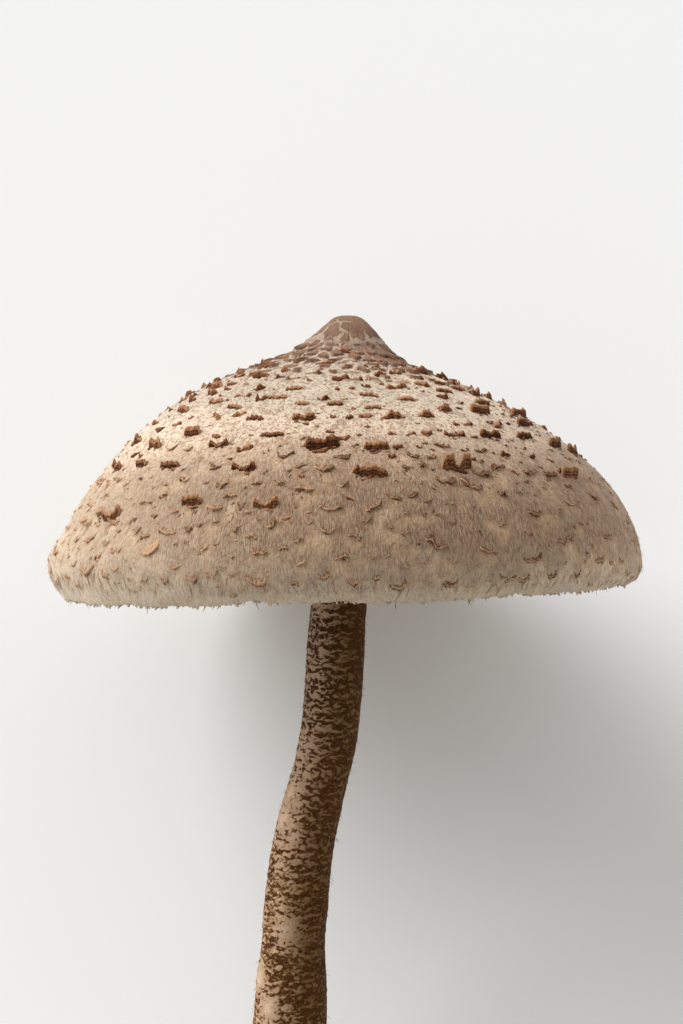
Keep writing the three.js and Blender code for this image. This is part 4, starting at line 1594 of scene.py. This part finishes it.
    def _has_room(self, row: tuple[float, ...], taken: list[tuple[float, ...]]) -> bool:
        """Whether a scale stays clear of every scale placed before it.

        Args:
            row: the scale.
            taken: those before it.

        Returns:
            True where it does.
        """
        others = np.array(taken)
        here = self.cap.point(np.array(row[0]), np.array(row[1]))
        there = self.cap.point(others[:, 0], others[:, 1])
        apart = np.linalg.norm(there - here, axis=-1)
        return bool((apart > 0.42 * (others[:, 2] + row[2]) + 0.5).all())


@dataclass(frozen=True)
class FlakeForm:
    """Form of one kind of scale.

    Its section runs from the root over the free edge to the foot: a point stands along the cap at
    reach shares of the scale's reach plus extra millimetres, and off the cap by height shares of the
    lift, and dark is how dark it is: the scale's brown, with painted highlight where it is low on the
    lit crests and rims, and painted shade where it is high on the steep face and the underside. The
    foot's rows just past the free edge, at about the skin's height, are a painted shadow on the skin
    below it. The section is carried across in so many steps. The free edge bows by bow widths and
    leans by lean lifts. Noise tears it by rough in height, as finely as tear, and by wander along, and
    jitter moves each point. Square rounds the ends less, flare widens the top, and slant turns the
    scale.
    """

    reach: tuple[float, ...]
    extra: tuple[float, ...]
    height: tuple[float, ...]
    dark: tuple[float, ...]
    steps: int
    bow: tuple[float, float]
    lean: tuple[float, float]
    rough: float
    wander: float
    jitter: float = 0.07
    tear: float = 0.2
    square: int = 6
    flare: float = 0.0
    slant: float = 0.22


# In each section, dark is low on the lit crests and rims, a painted highlight, and high on the steep face,
# the underside and the foot's rows past the free edge, painted shade and a painted shadow line on the skin.
FLAKE_FORMS: dict[ScaleKind, FlakeForm] = {
    ScaleKind.LARGE: FlakeForm(
        (-1, -0.75, -0.5, -0.3, -0.18, -0.1, 0, 0, 0, 0, 0, 0, 0, 0, 0, -0.4),
        (0, 0, 0, 0, 0, 0, 0.12, 0.38, 0.14, 0.48, 0.2, 0.66, 0.34, 0.8, 0.6, 0),
        (-0.12, 0.04, 0.1, 0.18, 0.4, 1.0, 0.97, 0.78, 0.7, 0.52, 0.44, 0.26, 0.2, 0.08, -0.04, -0.25),
        (0, 0.05, 0.15, 0.3, 0.4, 0.3, 0.45, 0.3, 1.1, 0.4, 1.2, 0.3, 1.3, 0.4, 1.2, 1.0),
        29, (0.0, 0.07), (0.6, 0.9), 0.24, 1.0, tear=0.32, square=14, flare=0.2, slant=0.08,
    ),
    ScaleKind.SMALL: FlakeForm(
        (-1, -0.6, -0.25, -0.05, 0, 0, 0, -0.4),
        (0, 0, 0, 0, 0.15, 0.35, 0.5, 0),
        (-0.15, 0.12, 0.5, 1.0, 0.9, 0.4, -0.03, -0.25),
        (0.2, 0.4, 0.45, 0.25, 0.5, 1.0, 1.3, 1.0),
        10, (0.05, 0.3), (0.3, 0.9), 0.35, 0.9,
    ),
    ScaleKind.LIP: FlakeForm(
        (-1, -0.62, -0.32, -0.12, 0, 0, 0, 0, -0.3),
        (0, 0, 0, 0, 0.1, 0.2, 0.3, 0.75, 0),
        (-0.25, 0.2, 0.4, 0.65, 1.0, 0.6, 0.14, 0.03, -0.3),
        (0.3, 0.8, 1.1, 1.0, 0.1, 0.9, 1.3, 1.2, 1.0),
        13, (0.1, 0.42), (-0.2, 0.3), 0.45, 1.8, jitter=0.06,
    ),
    ScaleKind.TUFT: FlakeForm(
        (-1, -0.5, -0.15, 0, 0, 0, -0.4),
        (0, 0, 0, 0.1, 0.2, 0.1, 0),
        (-0.2, 0.25, 0.8, 1.0, 0.7, -0.1, -0.3),
        (0.2, 0.4, 0.5, 0.2, 0.6, 1.0, 1.0),
        6, (0.05, 0.4), (-0.2, 0.6), 0.4, 0.7, jitter=0.05,
    ),
    ScaleKind.CRUMB: FlakeForm(
        (-1, -0.4, -0.1, 0, 0, 0, -0.4),
        (0, 0, 0, 0.1, 0.3, 0.3, 0),
        (-0.2, 0.3, 0.9, 1.0, 0.5, -0.1, -0.3),
        (0.1, 0.3, 0.4, 0.5, 0.8, 1.0, 1.0),
        6, (0.0, 0.4), (0.2, 0.9), 0.4, 0.5,
    ),
}


@dataclass
class Scales:
    """Scales of one kind as closed flakes: a section carried across the scale's width."""

    plan: ScalePlan
    lying: Lying
    kind: ScaleKind
    seed: int = 41

    def crests(self, draw: Generator, across: Array) -> Array:
        """Heights across each scale: the large ones' own crests, and random smooth ones for the rest.

        Args:
            draw: for the rest.
            across: stations from -1 to 1.

        Returns:
            A row of shares of the lift for each scale.
        """
        count = len(self.plan.places(self.kind))
        if self.kind is ScaleKind.LARGE:
            profiles = np.array([flake.crest.value for flake in self.plan.large])
        else:
            profiles = np.clip(draw.normal(0.78, 0.2, (count, 7)), 0.25, 1.15)
        knots = np.linspace(-1, 1, profiles.shape[1])
        return np.stack([np.interp(across, knots, profile) for profile in profiles])

    def build(self, name: str, material: Material) -> None:
        """Makes the flakes.

        A flake's free edge is bent like a smile and leans towards the apex, noise tears its height,
        and it is turned a little in the cap's surface. Every point is carried by the cap's own
        azimuth and distance.

        Args:
            name: name of the piece.
            material: its finish.
        """
        rows = self.plan.places(self.kind)
        draw = default_rng(self.seed)
        noise = Noise(self.seed)
        count = len(rows)
        azimuth, distance, width, lift, reach = (rows[:, k][:, None, None] for k in range(5))
        form = FLAKE_FORMS[self.kind]
        section = np.array((form.reach, form.extra, form.height, form.dark), float)
        place, extra, height, dark = section[:, None, None, :]
        spread = np.linspace(-1, 1, form.steps)
        across = spread[None, :, None]
        own = np.arange(count)[:, None, None] * 7.3
        crest = self.crests(draw, spread)[:, :, None]
        torn = noise.fractal(across * form.tear * form.steps + own, own * 0.37 + 2.5, 3)
        crest = crest * (1 + form.rough * (torn - 0.5) * 2)
        if self.kind is ScaleKind.LARGE:
            crest = np.minimum(1.2 * crest, 1.0)
        ends = np.clip(1 - np.abs(across) ** form.square, 0.02, 1)
        tall = lift * crest * ends
        bow = draw.uniform(*form.bow, (count, 1, 1))
        lean = draw.uniform(*form.lean, (count, 1, 1))
        wander = (noise.fractal(across * 2.6 + own + 50, own, 3) - 0.5) * form.wander
        up = np.where(height > 0, height * tall, height * np.minimum(lift, 1.0))
        ripple = noise.field(across * 0.3 * form.steps + own, place * 3 + own) - 0.5
        up = up + ripple * 0.14 * (height > 0.05)
        along = place * reach * (0.45 + 0.55 * ends) + extra - bow * width * across ** 2 + wander
        along = along - lean * np.clip(up, 0, None) * (place > -0.2)
        side = across * width / 2 * (1 - 0.12 * (place < -0.5) + form.flare * np.clip(height, 0, 1))
        slant = draw.normal(0, form.slant, (count, 1, 1))
        sine, cosine = np.sin(slant), np.cos(slant)
        side, along = side * cosine - along * sine, side * sine + along * cosine
        cap = self.plan.cap
        here = np.clip(distance + along, 1, cap.distance_at(1.97))
        points = cap.point(azimuth + side / cap.column("r", distance), here, up)
        points = points + draw.normal(0, form.jitter, points.shape)
        # The section's dark, with its painted light and shade, plus torn noise.
        shade = dark + 0.5 * (torn - 0.5) + 0 * points[..., 0]
        if self.kind in (ScaleKind.TUFT, ScaleKind.CRUMB):
            shade = shade - ease(60, 88, distance) * 0.2
        if self.kind in (ScaleKind.LARGE, ScaleKind.CRUMB):
            shade = shade - 0.3 * ease(60, 50, distance)
        # Scales are paler towards -X, where the light comes from: painted light.
        painted_light = 0.35 * towards(azimuth, -1) ** 2 * ease(60, 90, distance)
        if self.kind is ScaleKind.LIP:
            painted_light = 0.8 * np.clip(0.35 - 0.8 * np.cos(azimuth), 0, 1) * ease(60, 75, distance)
        # Less darkness near the margin, where the painted shade of the scales' undersides and feet shows.
        less_painted_shade = 0.2 * ease(70, 84, distance) + 0.15 * ease(88, 98, distance)
        shade = shade - painted_light - less_painted_shade * (0.0 if self.kind is ScaleKind.SMALL else 1.0)
        attributes = {"dark": shade, "tint": draw.random((count, 1, 1))}
        Sheaf.piece(name, self.lying, points, attributes, material, Slot.CAP)


@dataclass(frozen=True)
class Strand:
    """Ranges that one sort of loose fibre is drawn from, and how many stations it has."""

    length: tuple[float, float]
    lift: tuple[float, float]
    width: tuple[float, float]
    skew: float
    widest_skew: float = 0.9
    lift_power: float = 1.0
    stations: int = 3


@dataclass
class CapFibres:
    """Loose fibres on the cap: combed down the lower part, frayed off the lips, hung off the edge."""

    cap: Cap
    plan: ScalePlan
    lying: Lying
    combed: int = 12000
    frayed: int = 3400
    flecks: int = 9000
    hanging: int = 900
    combed_strand: Strand = Strand((1.2, 4.2), (0.0, 0.6), (0.09, 0.22), 0.3, 0.8, lift_power=2.0)
    frayed_strand: Strand = Strand((0.8, 2.6), (0.2, 1.2), (0.08, 0.18), 0.45, stations=4)
    fleck_strand: Strand = Strand((0.4, 1.4), (0.05, 0.4), (0.16, 0.5), 0.6)
    combed_from: float = 34.0
    flecks_from: float = 20.0
    flecks_to: float = 86.0
    seed: int = 5

    def laid(self, strand: Strand, azimuth: Array, distance: Array, draw: Generator) -> Array:
        """Fibres that leave the skin slowly: height grows with the square of the way along.

        Args:
            strand: their sort.
            azimuth: where they start.
            distance: where they start.
            draw: for their length, the lift of their tips, their width and their sideways drift.

        Returns:
            Points for Sheaf.add.
        """
        azimuth, distance = azimuth[:, None], distance[:, None]
        length = draw.uniform(*strand.length, azimuth.shape)
        low, high = strand.lift
        lift = low + (high - low) * draw.random(azimuth.shape) ** strand.lift_power
        width = draw.uniform(*strand.width, azimuth.shape)
        skew = draw.normal(0, strand.skew, azimuth.shape).clip(-strand.widest_skew, strand.widest_skew)
        way = np.linspace(0, 1, strand.stations)
        turn = azimuth + skew * length * way / self.cap.column("r", distance)
        here = distance + length * way * np.sqrt(np.clip(1 - skew ** 2, 0.05, 1))
        path = self.cap.point(turn, np.minimum(here, self.cap.distance_at(1.99)), lift * way ** 2 - 0.04)
        normal = polar(self.cap.column("nr", distance), azimuth, self.cap.column("nz", distance))
        return slivers(path, sideways(azimuth), normal, width[..., None], 0.7)

    def build(self, material: Material, fleck: Material) -> None:
        """Makes the combed and frayed fibres in one finish and the flecks in another.

        Args:
            material: the fibres' finish.
            fleck: the flecks' finish.
        """
        draw = default_rng(self.seed)
        reach = self.cap.distance_at(1.95) - self.combed_from - 4
        distance = self.combed_from + reach * draw.random(self.combed) ** 0.8
        fibres = self.laid(self.combed_strand, draw.uniform(0, TAU, self.combed), distance, draw)
        tint = draw.random((self.combed, 1, 1)) ** 1.6 * 0.8
        Sheaf.piece("cap_fibres", self.lying, fibres, {"tint": tint}, material, Slot.CAP)

        lips = self.plan.places(ScaleKind.LIP)
        chosen = lips[draw.integers(0, len(lips), self.frayed)]
        across = draw.uniform(-1.0, 1.0, self.frayed)
        azimuth = chosen[:, 0] + across * chosen[:, 2] / 2 / self.cap.column("r", chosen[:, 1])
        distance = chosen[:, 1] - 0.22 * chosen[:, 2] * across ** 2 - 0.5
        fibres = self.laid(self.frayed_strand, azimuth, distance, draw)
        tint = draw.random((self.frayed, 1, 1)) * 0.35
        Sheaf.piece("lip_fibres", self.lying, fibres, {"tint": tint}, material, Slot.CAP)

        distance = self.flecks_from + (self.flecks_to - self.flecks_from) * draw.random(self.flecks) ** 0.8
        fibres = self.laid(self.fleck_strand, draw.uniform(0, TAU, self.flecks), distance, draw)
        tint = draw.random((self.flecks, 1, 1))
        Sheaf.piece("cap_flecks", self.lying, fibres, {"tint": tint}, fleck, Slot.CAP)

    def fringe(self, material: Material, skin: CapSkin) -> None:
        """Small tufts and threads that hang from the margin's torn edge.

        Args:
            material: their finish.
            skin: has the edge.
        """
        draw = default_rng(self.seed + 1)
        count = self.hanging
        azimuth = draw.uniform(0, TAU, count)
        hang = skin.hang(azimuth)
        long = draw.random(count) > 0.975
        length = np.where(long, draw.uniform(1.0, 2.1, count), draw.uniform(0.2, 0.7, count))
        way = np.linspace(-0.5, 1, 4)[None, :]
        top = self.cap.below(azimuth, np.full(count, 1.96), draw.uniform(0.1, 0.9, count))
        top[:, 2] -= hang
        side, away = sideways(azimuth[:, None]), outward(azimuth[:, None])
        drift = draw.normal(0, 0.3, (count, 1, 1)) * side + draw.normal(0.1, 0.3, (count, 1, 1)) * away
        drop = way[..., None] * length[:, None, None]
        path = top[:, None, :] + drop * (DOWN + drift * np.clip(way[..., None], 0, 1))
        width = np.where(long, 0.22, draw.uniform(0.3, 1.3, count))
        points = slivers(path, side, away, width[:, None, None], 0.35, 0.3)
        tint = np.where(long, 1.0, draw.random(count) * 0.4)[:, None, None]
        Sheaf.piece("margin_fringe", self.lying, points, {"tint": tint}, material, Slot.CAP)


# ---- gills


@dataclass
class Gills:
    """Crowded thin gills, free from the stem: long, short and shortest ones between each two."""

    cap: Cap
    lying: Lying
    pairs: int = 112
    depth: float = 12.0
    start_depth: float = 0.35
    swell: float = 7.0
    foot: float = 0.42
    edge: float = 0.32
    felt: float = 0.8
    gap: float = 0.5
    first: float = 0.125
    last: float = 1.4
    felt_columns: int = 192
    felt_rows: int = 26
    seed: int = 8

    def hanging(self, w: Array) -> Array:
        """Depth at share w: nothing at the collar, deepest a third of the way out, thin at the margin.

        Args:
            w: shares.

        Returns:
            Depths.
        """
        out = np.clip((w - self.first) / (self.last - self.first), 0, 1)
        swelling = np.minimum(1, np.sqrt(out * self.swell))
        return self.start_depth + (self.depth - self.start_depth) * swelling * (1 - out) ** 0.75

    def blades(
        self, azimuth: Array, start: Array, share: float, stations: int, draw: Generator,
    ) -> tuple[Array, dict[str, Array]]:
        """Blades from a start share to the margin, each a thin plate with a rounded free edge.

        A blade's section runs from its foot on one side round the free edge to its foot on the other.
        Its middle line sways sideways by noise along its length.

        Args:
            azimuth: of each blade.
            start: share where each blade starts.
            share: depth against a long gill.
            stations: sections along a blade.
            draw: for the sway.

        Returns:
            Points and attributes for Sheaf.add.
        """
        count = len(azimuth)
        way = np.linspace(0, 1, stations) ** 1.25
        w = start[:, None] + (self.last - start[:, None]) * way[None, :]
        eased = ease(0, 0.22, way)[None, :] if share < 1 else 1.0
        noise = Noise(self.seed)
        own = draw.random(count)[:, None] * 100
        nibbled = 1 - 0.05 * noise.fractal(w * 40 + own, own, 2)
        deep = self.hanging(w) * share * eased * nibbled
        side = np.array([-0.5, -0.42, -0.3, 0.0, 0.3, 0.42, 0.5])
        down = np.array([-0.06, 0.5, 0.93, 1.0, 0.93, 0.5, -0.06])
        sway = (noise.fractal(w * 5 + own, own + 3, 2) - 0.5) * 1.3
        lean = sway[..., None] * np.clip(down, 0, 1) ** 1.5
        section = self.cap.form.section(w)
        total = (section["flesh"] + self.gap + self.felt)[..., None] + deep[..., None] * down
        radius = section["r"][..., None] - section["nr"][..., None] * total
        height = section["z"][..., None] - section["nz"][..., None] * total
        thick = self.foot + (self.edge - self.foot) * np.clip(down, 0, 1)
        offset = side * thick + lean * np.minimum(1, radius / 30)
        turn = azimuth[:, None, None] + offset / radius
        height = height + self.cap.form.rise(turn, w[..., None])
        attributes = {"depth": np.clip(down, 0, 1) + 0 * radius, "tint": draw.random((count, 1, 1)) * 0.5}
        return polar(radius, turn, height), attributes

    def build(self, material: Material) -> None:
        """Makes the blades and the felt that joins them under the flesh.

        Args:
            material: their finish.
        """
        draw = default_rng(self.seed)
        step = TAU / self.pairs
        base = np.arange(self.pairs) * step
        quarters = np.append(base + step / 4, base + 3 * step / 4)
        sheaf = Sheaf("gill_blades", self.lying)
        rows = (
            (base, np.full(self.pairs, self.first), 1.0, 26),
            (base + step / 2, draw.uniform(0.2, 0.5, self.pairs), 0.8, 20),
            (quarters, draw.uniform(0.62, 0.95, len(quarters)), 0.5, 12),
        )
        for azimuth, start, share, stations in rows:
            jitter = draw.normal(0, step * 0.05, len(azimuth))
            points, attributes = self.blades(azimuth + jitter, start, share, stations, draw)
            sheaf.add(points, grid_uv(stations, 7), attributes)
        sheaf.build(material, Slot.GILLS, ("gills",))
        turn = columns_round(self.felt_columns)[:, None]
        w = np.linspace(self.first - 0.01, self.last + 0.02, self.felt_rows)
        upper = self.cap.below(turn, w[None, :], self.cap.flesh(w)[None, :] + 0.05)
        back = w[::-1]
        lower = self.cap.below(turn, back[None, :], self.cap.flesh(back)[None, :] + self.gap + self.felt)
        loop = np.concatenate([upper, lower], axis=1)[None]
        attributes = {"depth": np.zeros(1), "tint": np.full(1, 0.8)}
        Sheaf.piece("gill_felt", self.lying, loop, attributes, material, Slot.GILLS, ring=True)


# ---- stem and ring


@dataclass
class Stem:
    """The stem's skin with its raised brown bands, and the felted bulb."""

    form: StemForm
    lying: Lying
    columns: int = 160
    rows: int = 480
    seed: int = 23
    bare: tuple[tuple[float, float, float, float], ...] = (
        (-103, -86, 26, 4.0), (-150, -60, 26, 3.5), (-145, -54, 18, 2.5), (-112, -64, 14, 2.0),
        (-158, -98, 22, 4.0), (-128, -104, 18, 3.0), (40, -70, 40, 4.0), (120, -95, 30, 4.0),
        (80, -40, 30, 3.0),
    )

    def pattern(self, azimuth: Array, height: Array) -> tuple[Array, Array]:
        """How far the brown bands cover the stem, and where it is bare and pale.

        The cover is denser high on the stem and towards +X, the side away from the light, where it is partly
        denser bands and partly painted shade. It varies in broad blots, thins on the upper side towards -X
        as painted light, and falls to nothing on the bulb and in the bare patches, which are given as
        azimuth, height, half width in degrees and half height.

        Args:
            azimuth: of each grid point.
            height: of each grid point.

        Returns:
            Cover, and pale between 0 and 1, which holds the bare patches and painted light on the lit upper
            side.
        """
        noise = Noise(self.seed)
        broad = noise.around(azimuth, 6, height / 9 + 90) - 0.5
        cover = 0.12 * broad + 0.02 * np.cos(azimuth + 0.4) + 0.02 * np.clip(np.cos(azimuth + 0.2), 0, 1)
        cover = cover + 0.035 * ease(-60, 0, height)
        pale = np.zeros(broad.shape)
        for turn, level, wide, tall in self.bare:
            apart = np.degrees(degrees_apart(azimuth, math.radians(turn))) / wide
            patch = np.exp(-(apart ** 2) - ((height - level) / tall) ** 2)
            cover = cover - 0.2 * patch
            pale = np.maximum(pale, patch)
        cover = cover - 0.3 * ease(-118, -146, height)
        # Paler and less banded on the upper stem towards -X, where the light comes from: painted light.
        painted_light_upper = ease(-95, -35, height) * np.clip(-np.cos(azimuth - 0.5), 0, 1)
        cover = cover - 0.025 * painted_light_upper
        pale = np.maximum(pale, 0.75 * painted_light_upper)
        return cover, pale

    def build(self, material: Material) -> None:
        """Makes the closed skin as rings round the stem's bent line.

        Args:
            material: its finish.
        """
        share = np.linspace(0, 1, self.rows) ** 0.97
        level, offset, radius = (part[:, None] for part in self.form.along(share))
        azimuth = columns_round(self.columns)[None, :]
        cover, pale = self.pattern(azimuth, level)
        noise = Noise(self.seed + 1)
        swell = (noise.around(azimuth, 5, level / 14) - 0.5) * 0.9
        grain = (noise.around(azimuth, 40, level / 1.1) - 0.5) * 0.35
        felt = ease(-136, -152, level) * (0.4 + 0.6 * noise.around(azimuth, 14, level / 6))
        lumps = (noise.around(azimuth, 30, level / 2.6) - 0.5) * 0.7 * ease(-140, -156, level)
        taper = ease(0, 6, radius - 3)
        relief = (swell + grain + lumps) * taper
        rings = polar(radius + relief, azimuth, level + 0 * azimuth)
        rings[..., 0] += offset
        # Browner high on the stem towards +X, away from the light and under the cap: painted shade.
        painted_shade_side = np.clip(np.cos(azimuth + 0.3) + 0.25, 0, 1) * ease(-125, -100, level)
        attributes = {"cover": cover, "pale": pale, "painted_shade_side": painted_shade_side, "felt": np.clip(felt + 0 * cover, 0, 1)}
        uv = skin_uv(np.hypot(np.diff(level[:, 0]), np.diff(radius[:, 0])), self.columns)
        Sheaf.piece("stem_skin", self.lying, rings[None], attributes, material, Slot.STEM, ("stem",), uv)

    def hairs(self, material: Material, count: int = 420, threads: int = 260) -> None:
        """Short hairs that stand off the bands, and longer threads on the bulb.

        Args:
            material: their finish.
            count: number of hairs.
            threads: number of threads.
        """
        draw = default_rng(self.seed)
        level = np.concatenate([draw.uniform(-130, -10, count), draw.uniform(-172, -148, threads)])
        azimuth = draw.uniform(0, TAU, count + threads)
        length = np.concatenate([draw.uniform(0.5, 1.6, count), draw.uniform(2, 7, threads)])
        stand = np.concatenate([draw.uniform(0.4, 1.0, count), draw.uniform(0.05, 0.35, threads)])
        offset, radius = self.form.at_height(level)
        way = np.linspace(0, 1, 5)[None, :, None]
        away = outward(azimuth)[:, None, :]
        side = np.cross(away, -DOWN)
        start = polar(radius, azimuth, level)
        start[:, 0] += offset
        drift = draw.normal(0, 0.6, (count + threads, 1, 1)) * side
        fall = DOWN * np.sqrt(1 - stand ** 2)[:, None, None]
        heading = away * stand[:, None, None] + fall + drift
        path = start[:, None, :] - away * 0.1 + heading * length[:, None, None] * way
        width = np.concatenate([np.full(count, 0.14), np.full(threads, 0.22)])[:, None, None]
        tint = np.concatenate([draw.uniform(0.6, 1.0, count), np.zeros(threads)])[:, None, None]
        hairs = slivers(path, side, away, width, 0.8)
        Sheaf.piece("stem_hairs", self.lying, hairs, {"tint": tint}, material, Slot.STEM)


@dataclass
class Ring:
    """The loose ring: a felted collar with a thick lower lip and a wider, frayed upper lip."""

    lying: Lying
    level: float = 3.0
    offset: float = -0.6
    bore: float = 6.95
    columns: int = 256
    hairs: int = 700
    fray: float = 0.9
    seed: int = 77
    section: tuple[tuple[float, float, float, float], ...] = (
        (6.95, 0.0, 0, 0.6), (7.8, -0.25, 0, 0.8), (8.8, -0.3, 0, 0.9), (10.6, 0.0, 0.1, 1.0),
        (12.4, 0.5, 0.4, 1.0), (13.6, 1.15, 0.8, 1.0), (14.2, 1.9, 1, 0.9), (13.8, 2.6, 1, 0.6),
        (12.4, 2.95, 0.5, 0.35), (10.6, 3.1, 0.1, 0.2),
        (11.4, 3.75, 0.2, 0.15), (12.8, 4.75, 0.4, 0.1), (14.4, 6.0, 0.8, 0.1), (15.5, 7.0, 1, 0.15),
        (15.1, 7.7, 1, 0.1), (13.6, 7.5, 0.7, 0), (11.8, 6.9, 0.2, 0), (10.2, 6.9, 0, 0), (8.9, 7.9, 0, 0),
        (8.2, 8.9, 0, 0), (7.4, 9.2, 0, 0), (6.95, 9.1, 0, 0), (6.95, 6.0, 0, 0), (6.95, 3.0, 0, 0.3),
    )

    def build(self, material: Material, fibre: Material) -> None:
        """Makes the collar, its section carried round the stem, and the hairs on its lips.

        Args:
            material: the collar's finish.
            fibre: the hairs' finish.
        """
        noise, draw = Noise(self.seed), default_rng(self.seed)
        azimuth = columns_round(self.columns)[:, None]
        radius, height, torn, brown = (np.array(column)[None, :] for column in zip(*self.section))
        ragged = (noise.around(azimuth, 44, height * 0 + torn, 3) - 0.55) * 2.6 * self.fray
        wavy = (noise.around(azimuth, 7, height * 0 + 5.5) - 0.5) * 1.6
        grain = (noise.around(azimuth, 90, height * 2) - 0.5) * 0.25 * (radius > self.bore + 0.5)
        level = self.level + height + wavy * torn + 0.4 * ragged * torn
        loop = polar(radius + ragged * torn + grain, azimuth, level)[None]
        loop[..., 0] += self.offset
        given = {"brown": brown + 0 * azimuth}
        Sheaf.piece("ring_collar", self.lying, loop, given, material, Slot.RING, ("ring",), ring=True)
        count = self.hairs
        turn = draw.uniform(0, TAU, count)
        upper = draw.random(count) < 0.55
        reach = np.where(upper, 14.6, 13.4)
        start = polar(reach, turn, self.level + np.where(upper, 7.2, 2.0))
        start[:, 0] += self.offset
        away = outward(turn)[:, None, :]
        side = np.cross(away, -DOWN)
        lean = draw.normal(0, 0.5, (count, 1, 1)) * side + draw.normal(-0.1, 0.45, (count, 1, 1)) * -DOWN
        length = draw.uniform(0.6, 2.0, (count, 1, 1))
        path = start[:, None, :] + (away + lean) * length * np.linspace(0, 1, 4)[None, :, None]
        points = slivers(path, side, np.cross(side, away), np.full((count, 1, 1), 0.2), 0.8)
        tint = np.where(upper, 0.05, 0.8)[:, None, None]
        Sheaf.piece("ring_hairs", self.lying, points, {"tint": tint}, fibre, Slot.RING)


# ---- studio


@dataclass(frozen=True)
class Studio:
    """Camera, floor and soft light. Places are on the growing mushroom, in millimetres."""

    lying: Lying
    camera_distance: float = 611.0
    camera_height: float = 12.6
    camera_side: float = -0.83
    lens: float = 90.2
    sensor: float = 36.0
    floor_half: float = 20.0
    floor_white: Colour = rgb(250, 252, 254)
    sky_white: Colour = rgb(240, 238, 234)
    sky_strength: float = 0.62
    sun_from: Triple = (-0.68, -0.15, 0.72)
    sun_width: float = 45.0
    sun_strength: float = 3.4
    sun_tint: Colour = (1.0, 0.99, 0.975)

    def build(self) -> None:
        """Makes the camera, the floor, the sky and the light."""
        self._camera()
        self._floor()
        self._world()
        self._sun()

    def _camera(self) -> None:
        """A camera that looks square on to the cap's axis, from above the lying mushroom."""
        camera = bpy.data.cameras.new("camera")
        camera.lens = self.lens
        camera.sensor_width = camera.sensor_height = self.sensor
        camera.sensor_fit = "AUTO"
        camera.clip_start, camera.clip_end = 0.01, 50
        holder = bpy.data.objects.new("camera", camera)
        bpy.context.scene.collection.objects.link(holder)
        spot = np.array([self.camera_side, -self.camera_distance, self.camera_height])
        right_up_back = ((1, 0, 0), (0, 0, 1), (0, -1, 0))
        turn = Matrix(self.lying.turn(np.array(right_up_back, float))).transposed().to_4x4()
        holder.matrix_world = Matrix.Translation(Vector(self.lying.place(spot))) @ turn
        bpy.context.scene.camera = holder

    def _floor(self) -> None:
        """A pale floor under the mushroom."""
        mesh = bpy.data.meshes.new("floor")
        half = self.floor_half
        corners = [(-half, -half, 0), (half, -half, 0), (half, half, 0), (-half, half, 0)]
        mesh.from_pydata(corners, [], [(0, 1, 2, 3)])
        material = bpy.data.materials.new("floor")
        material.use_nodes = True
        surface = material.node_tree.nodes["Principled BSDF"]
        surface.inputs["Base Color"].default_value = opaque(self.floor_white)
        surface.inputs["Roughness"].default_value = 0.9
        mesh.materials.append(material)
        floor = bpy.data.objects.new("floor", mesh)
        bpy.context.scene.collection.objects.link(floor)

    def _world(self) -> None:
        """An even pale sky."""
        world = bpy.data.worlds.new("sky")
        world.use_nodes = True
        background = world.node_tree.nodes["Background"]
        background.inputs["Color"].default_value = opaque(self.sky_white)
        background.inputs["Strength"].default_value = self.sky_strength
        bpy.context.scene.world = world
        bpy.context.scene.view_settings.view_transform = "Standard"

    def _sun(self) -> None:
        """One wide soft light from far away, up and to the left."""
        lamp = bpy.data.lights.new("key_light", "SUN")
        lamp.energy, lamp.angle, lamp.color = self.sun_strength, math.radians(self.sun_width), self.sun_tint
        holder = bpy.data.objects.new("key_light", lamp)
        bpy.context.scene.collection.objects.link(holder)
        holder.rotation_mode = "QUATERNION"
        shine = -self.lying.turn(np.array(self.sun_from))
        holder.rotation_quaternion = Vector(shine).to_track_quat("-Z", "Y")


def main() -> None:
    """Builds the mushroom piece by piece round the frame."""
    logging.basicConfig(level=logging.INFO, format="%(name)s: %(message)s")
    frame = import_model()
    cap = Cap(CapForm())
    lying = Lying.from_frame(frame["nodes"]["cap"], cap.form.apex)
    effects = SharedEffects()
    Studio(lying).build()
    skin = CapSkin(cap, lying)
    plan = ScalePlan(cap)
    every_scale = np.concatenate([plan.places(kind) for kind in ScaleKind])
    skin.build(CapSkinFinish().build(effects), every_scale)
    large_skin = LARGE_SKIN.build(effects)
    for name, kind, material in (
        ("large_scales", ScaleKind.LARGE, large_skin),
        ("small_scales", ScaleKind.SMALL, ScaleFinish().build(effects)),
        ("scale_crumbs", ScaleKind.CRUMB, large_skin),
        ("lip_scales", ScaleKind.LIP, LIP_SKIN.build(effects)),
        ("tuft_scales", ScaleKind.TUFT, TUFT_SKIN.build(effects)),
    ):
        Scales(plan, lying, kind).build(name, material)
    fibres = CapFibres(cap, plan, lying)
    fibres.build(CAP_FIBRE.build(effects), FLECK.build(effects))
    fibres.fringe(FRINGE.build(effects), skin)
    Gills(cap, lying).build(GillFinish().build(effects))
    stem = Stem(StemForm(), lying)
    stem.build(StemFinish().build(effects))
    stem.hairs(STEM_HAIR.build(effects))
    Ring(lying).build(RingFinish().build(effects), RING_HAIR.build(effects))


if __name__ == "__main__":
    main()
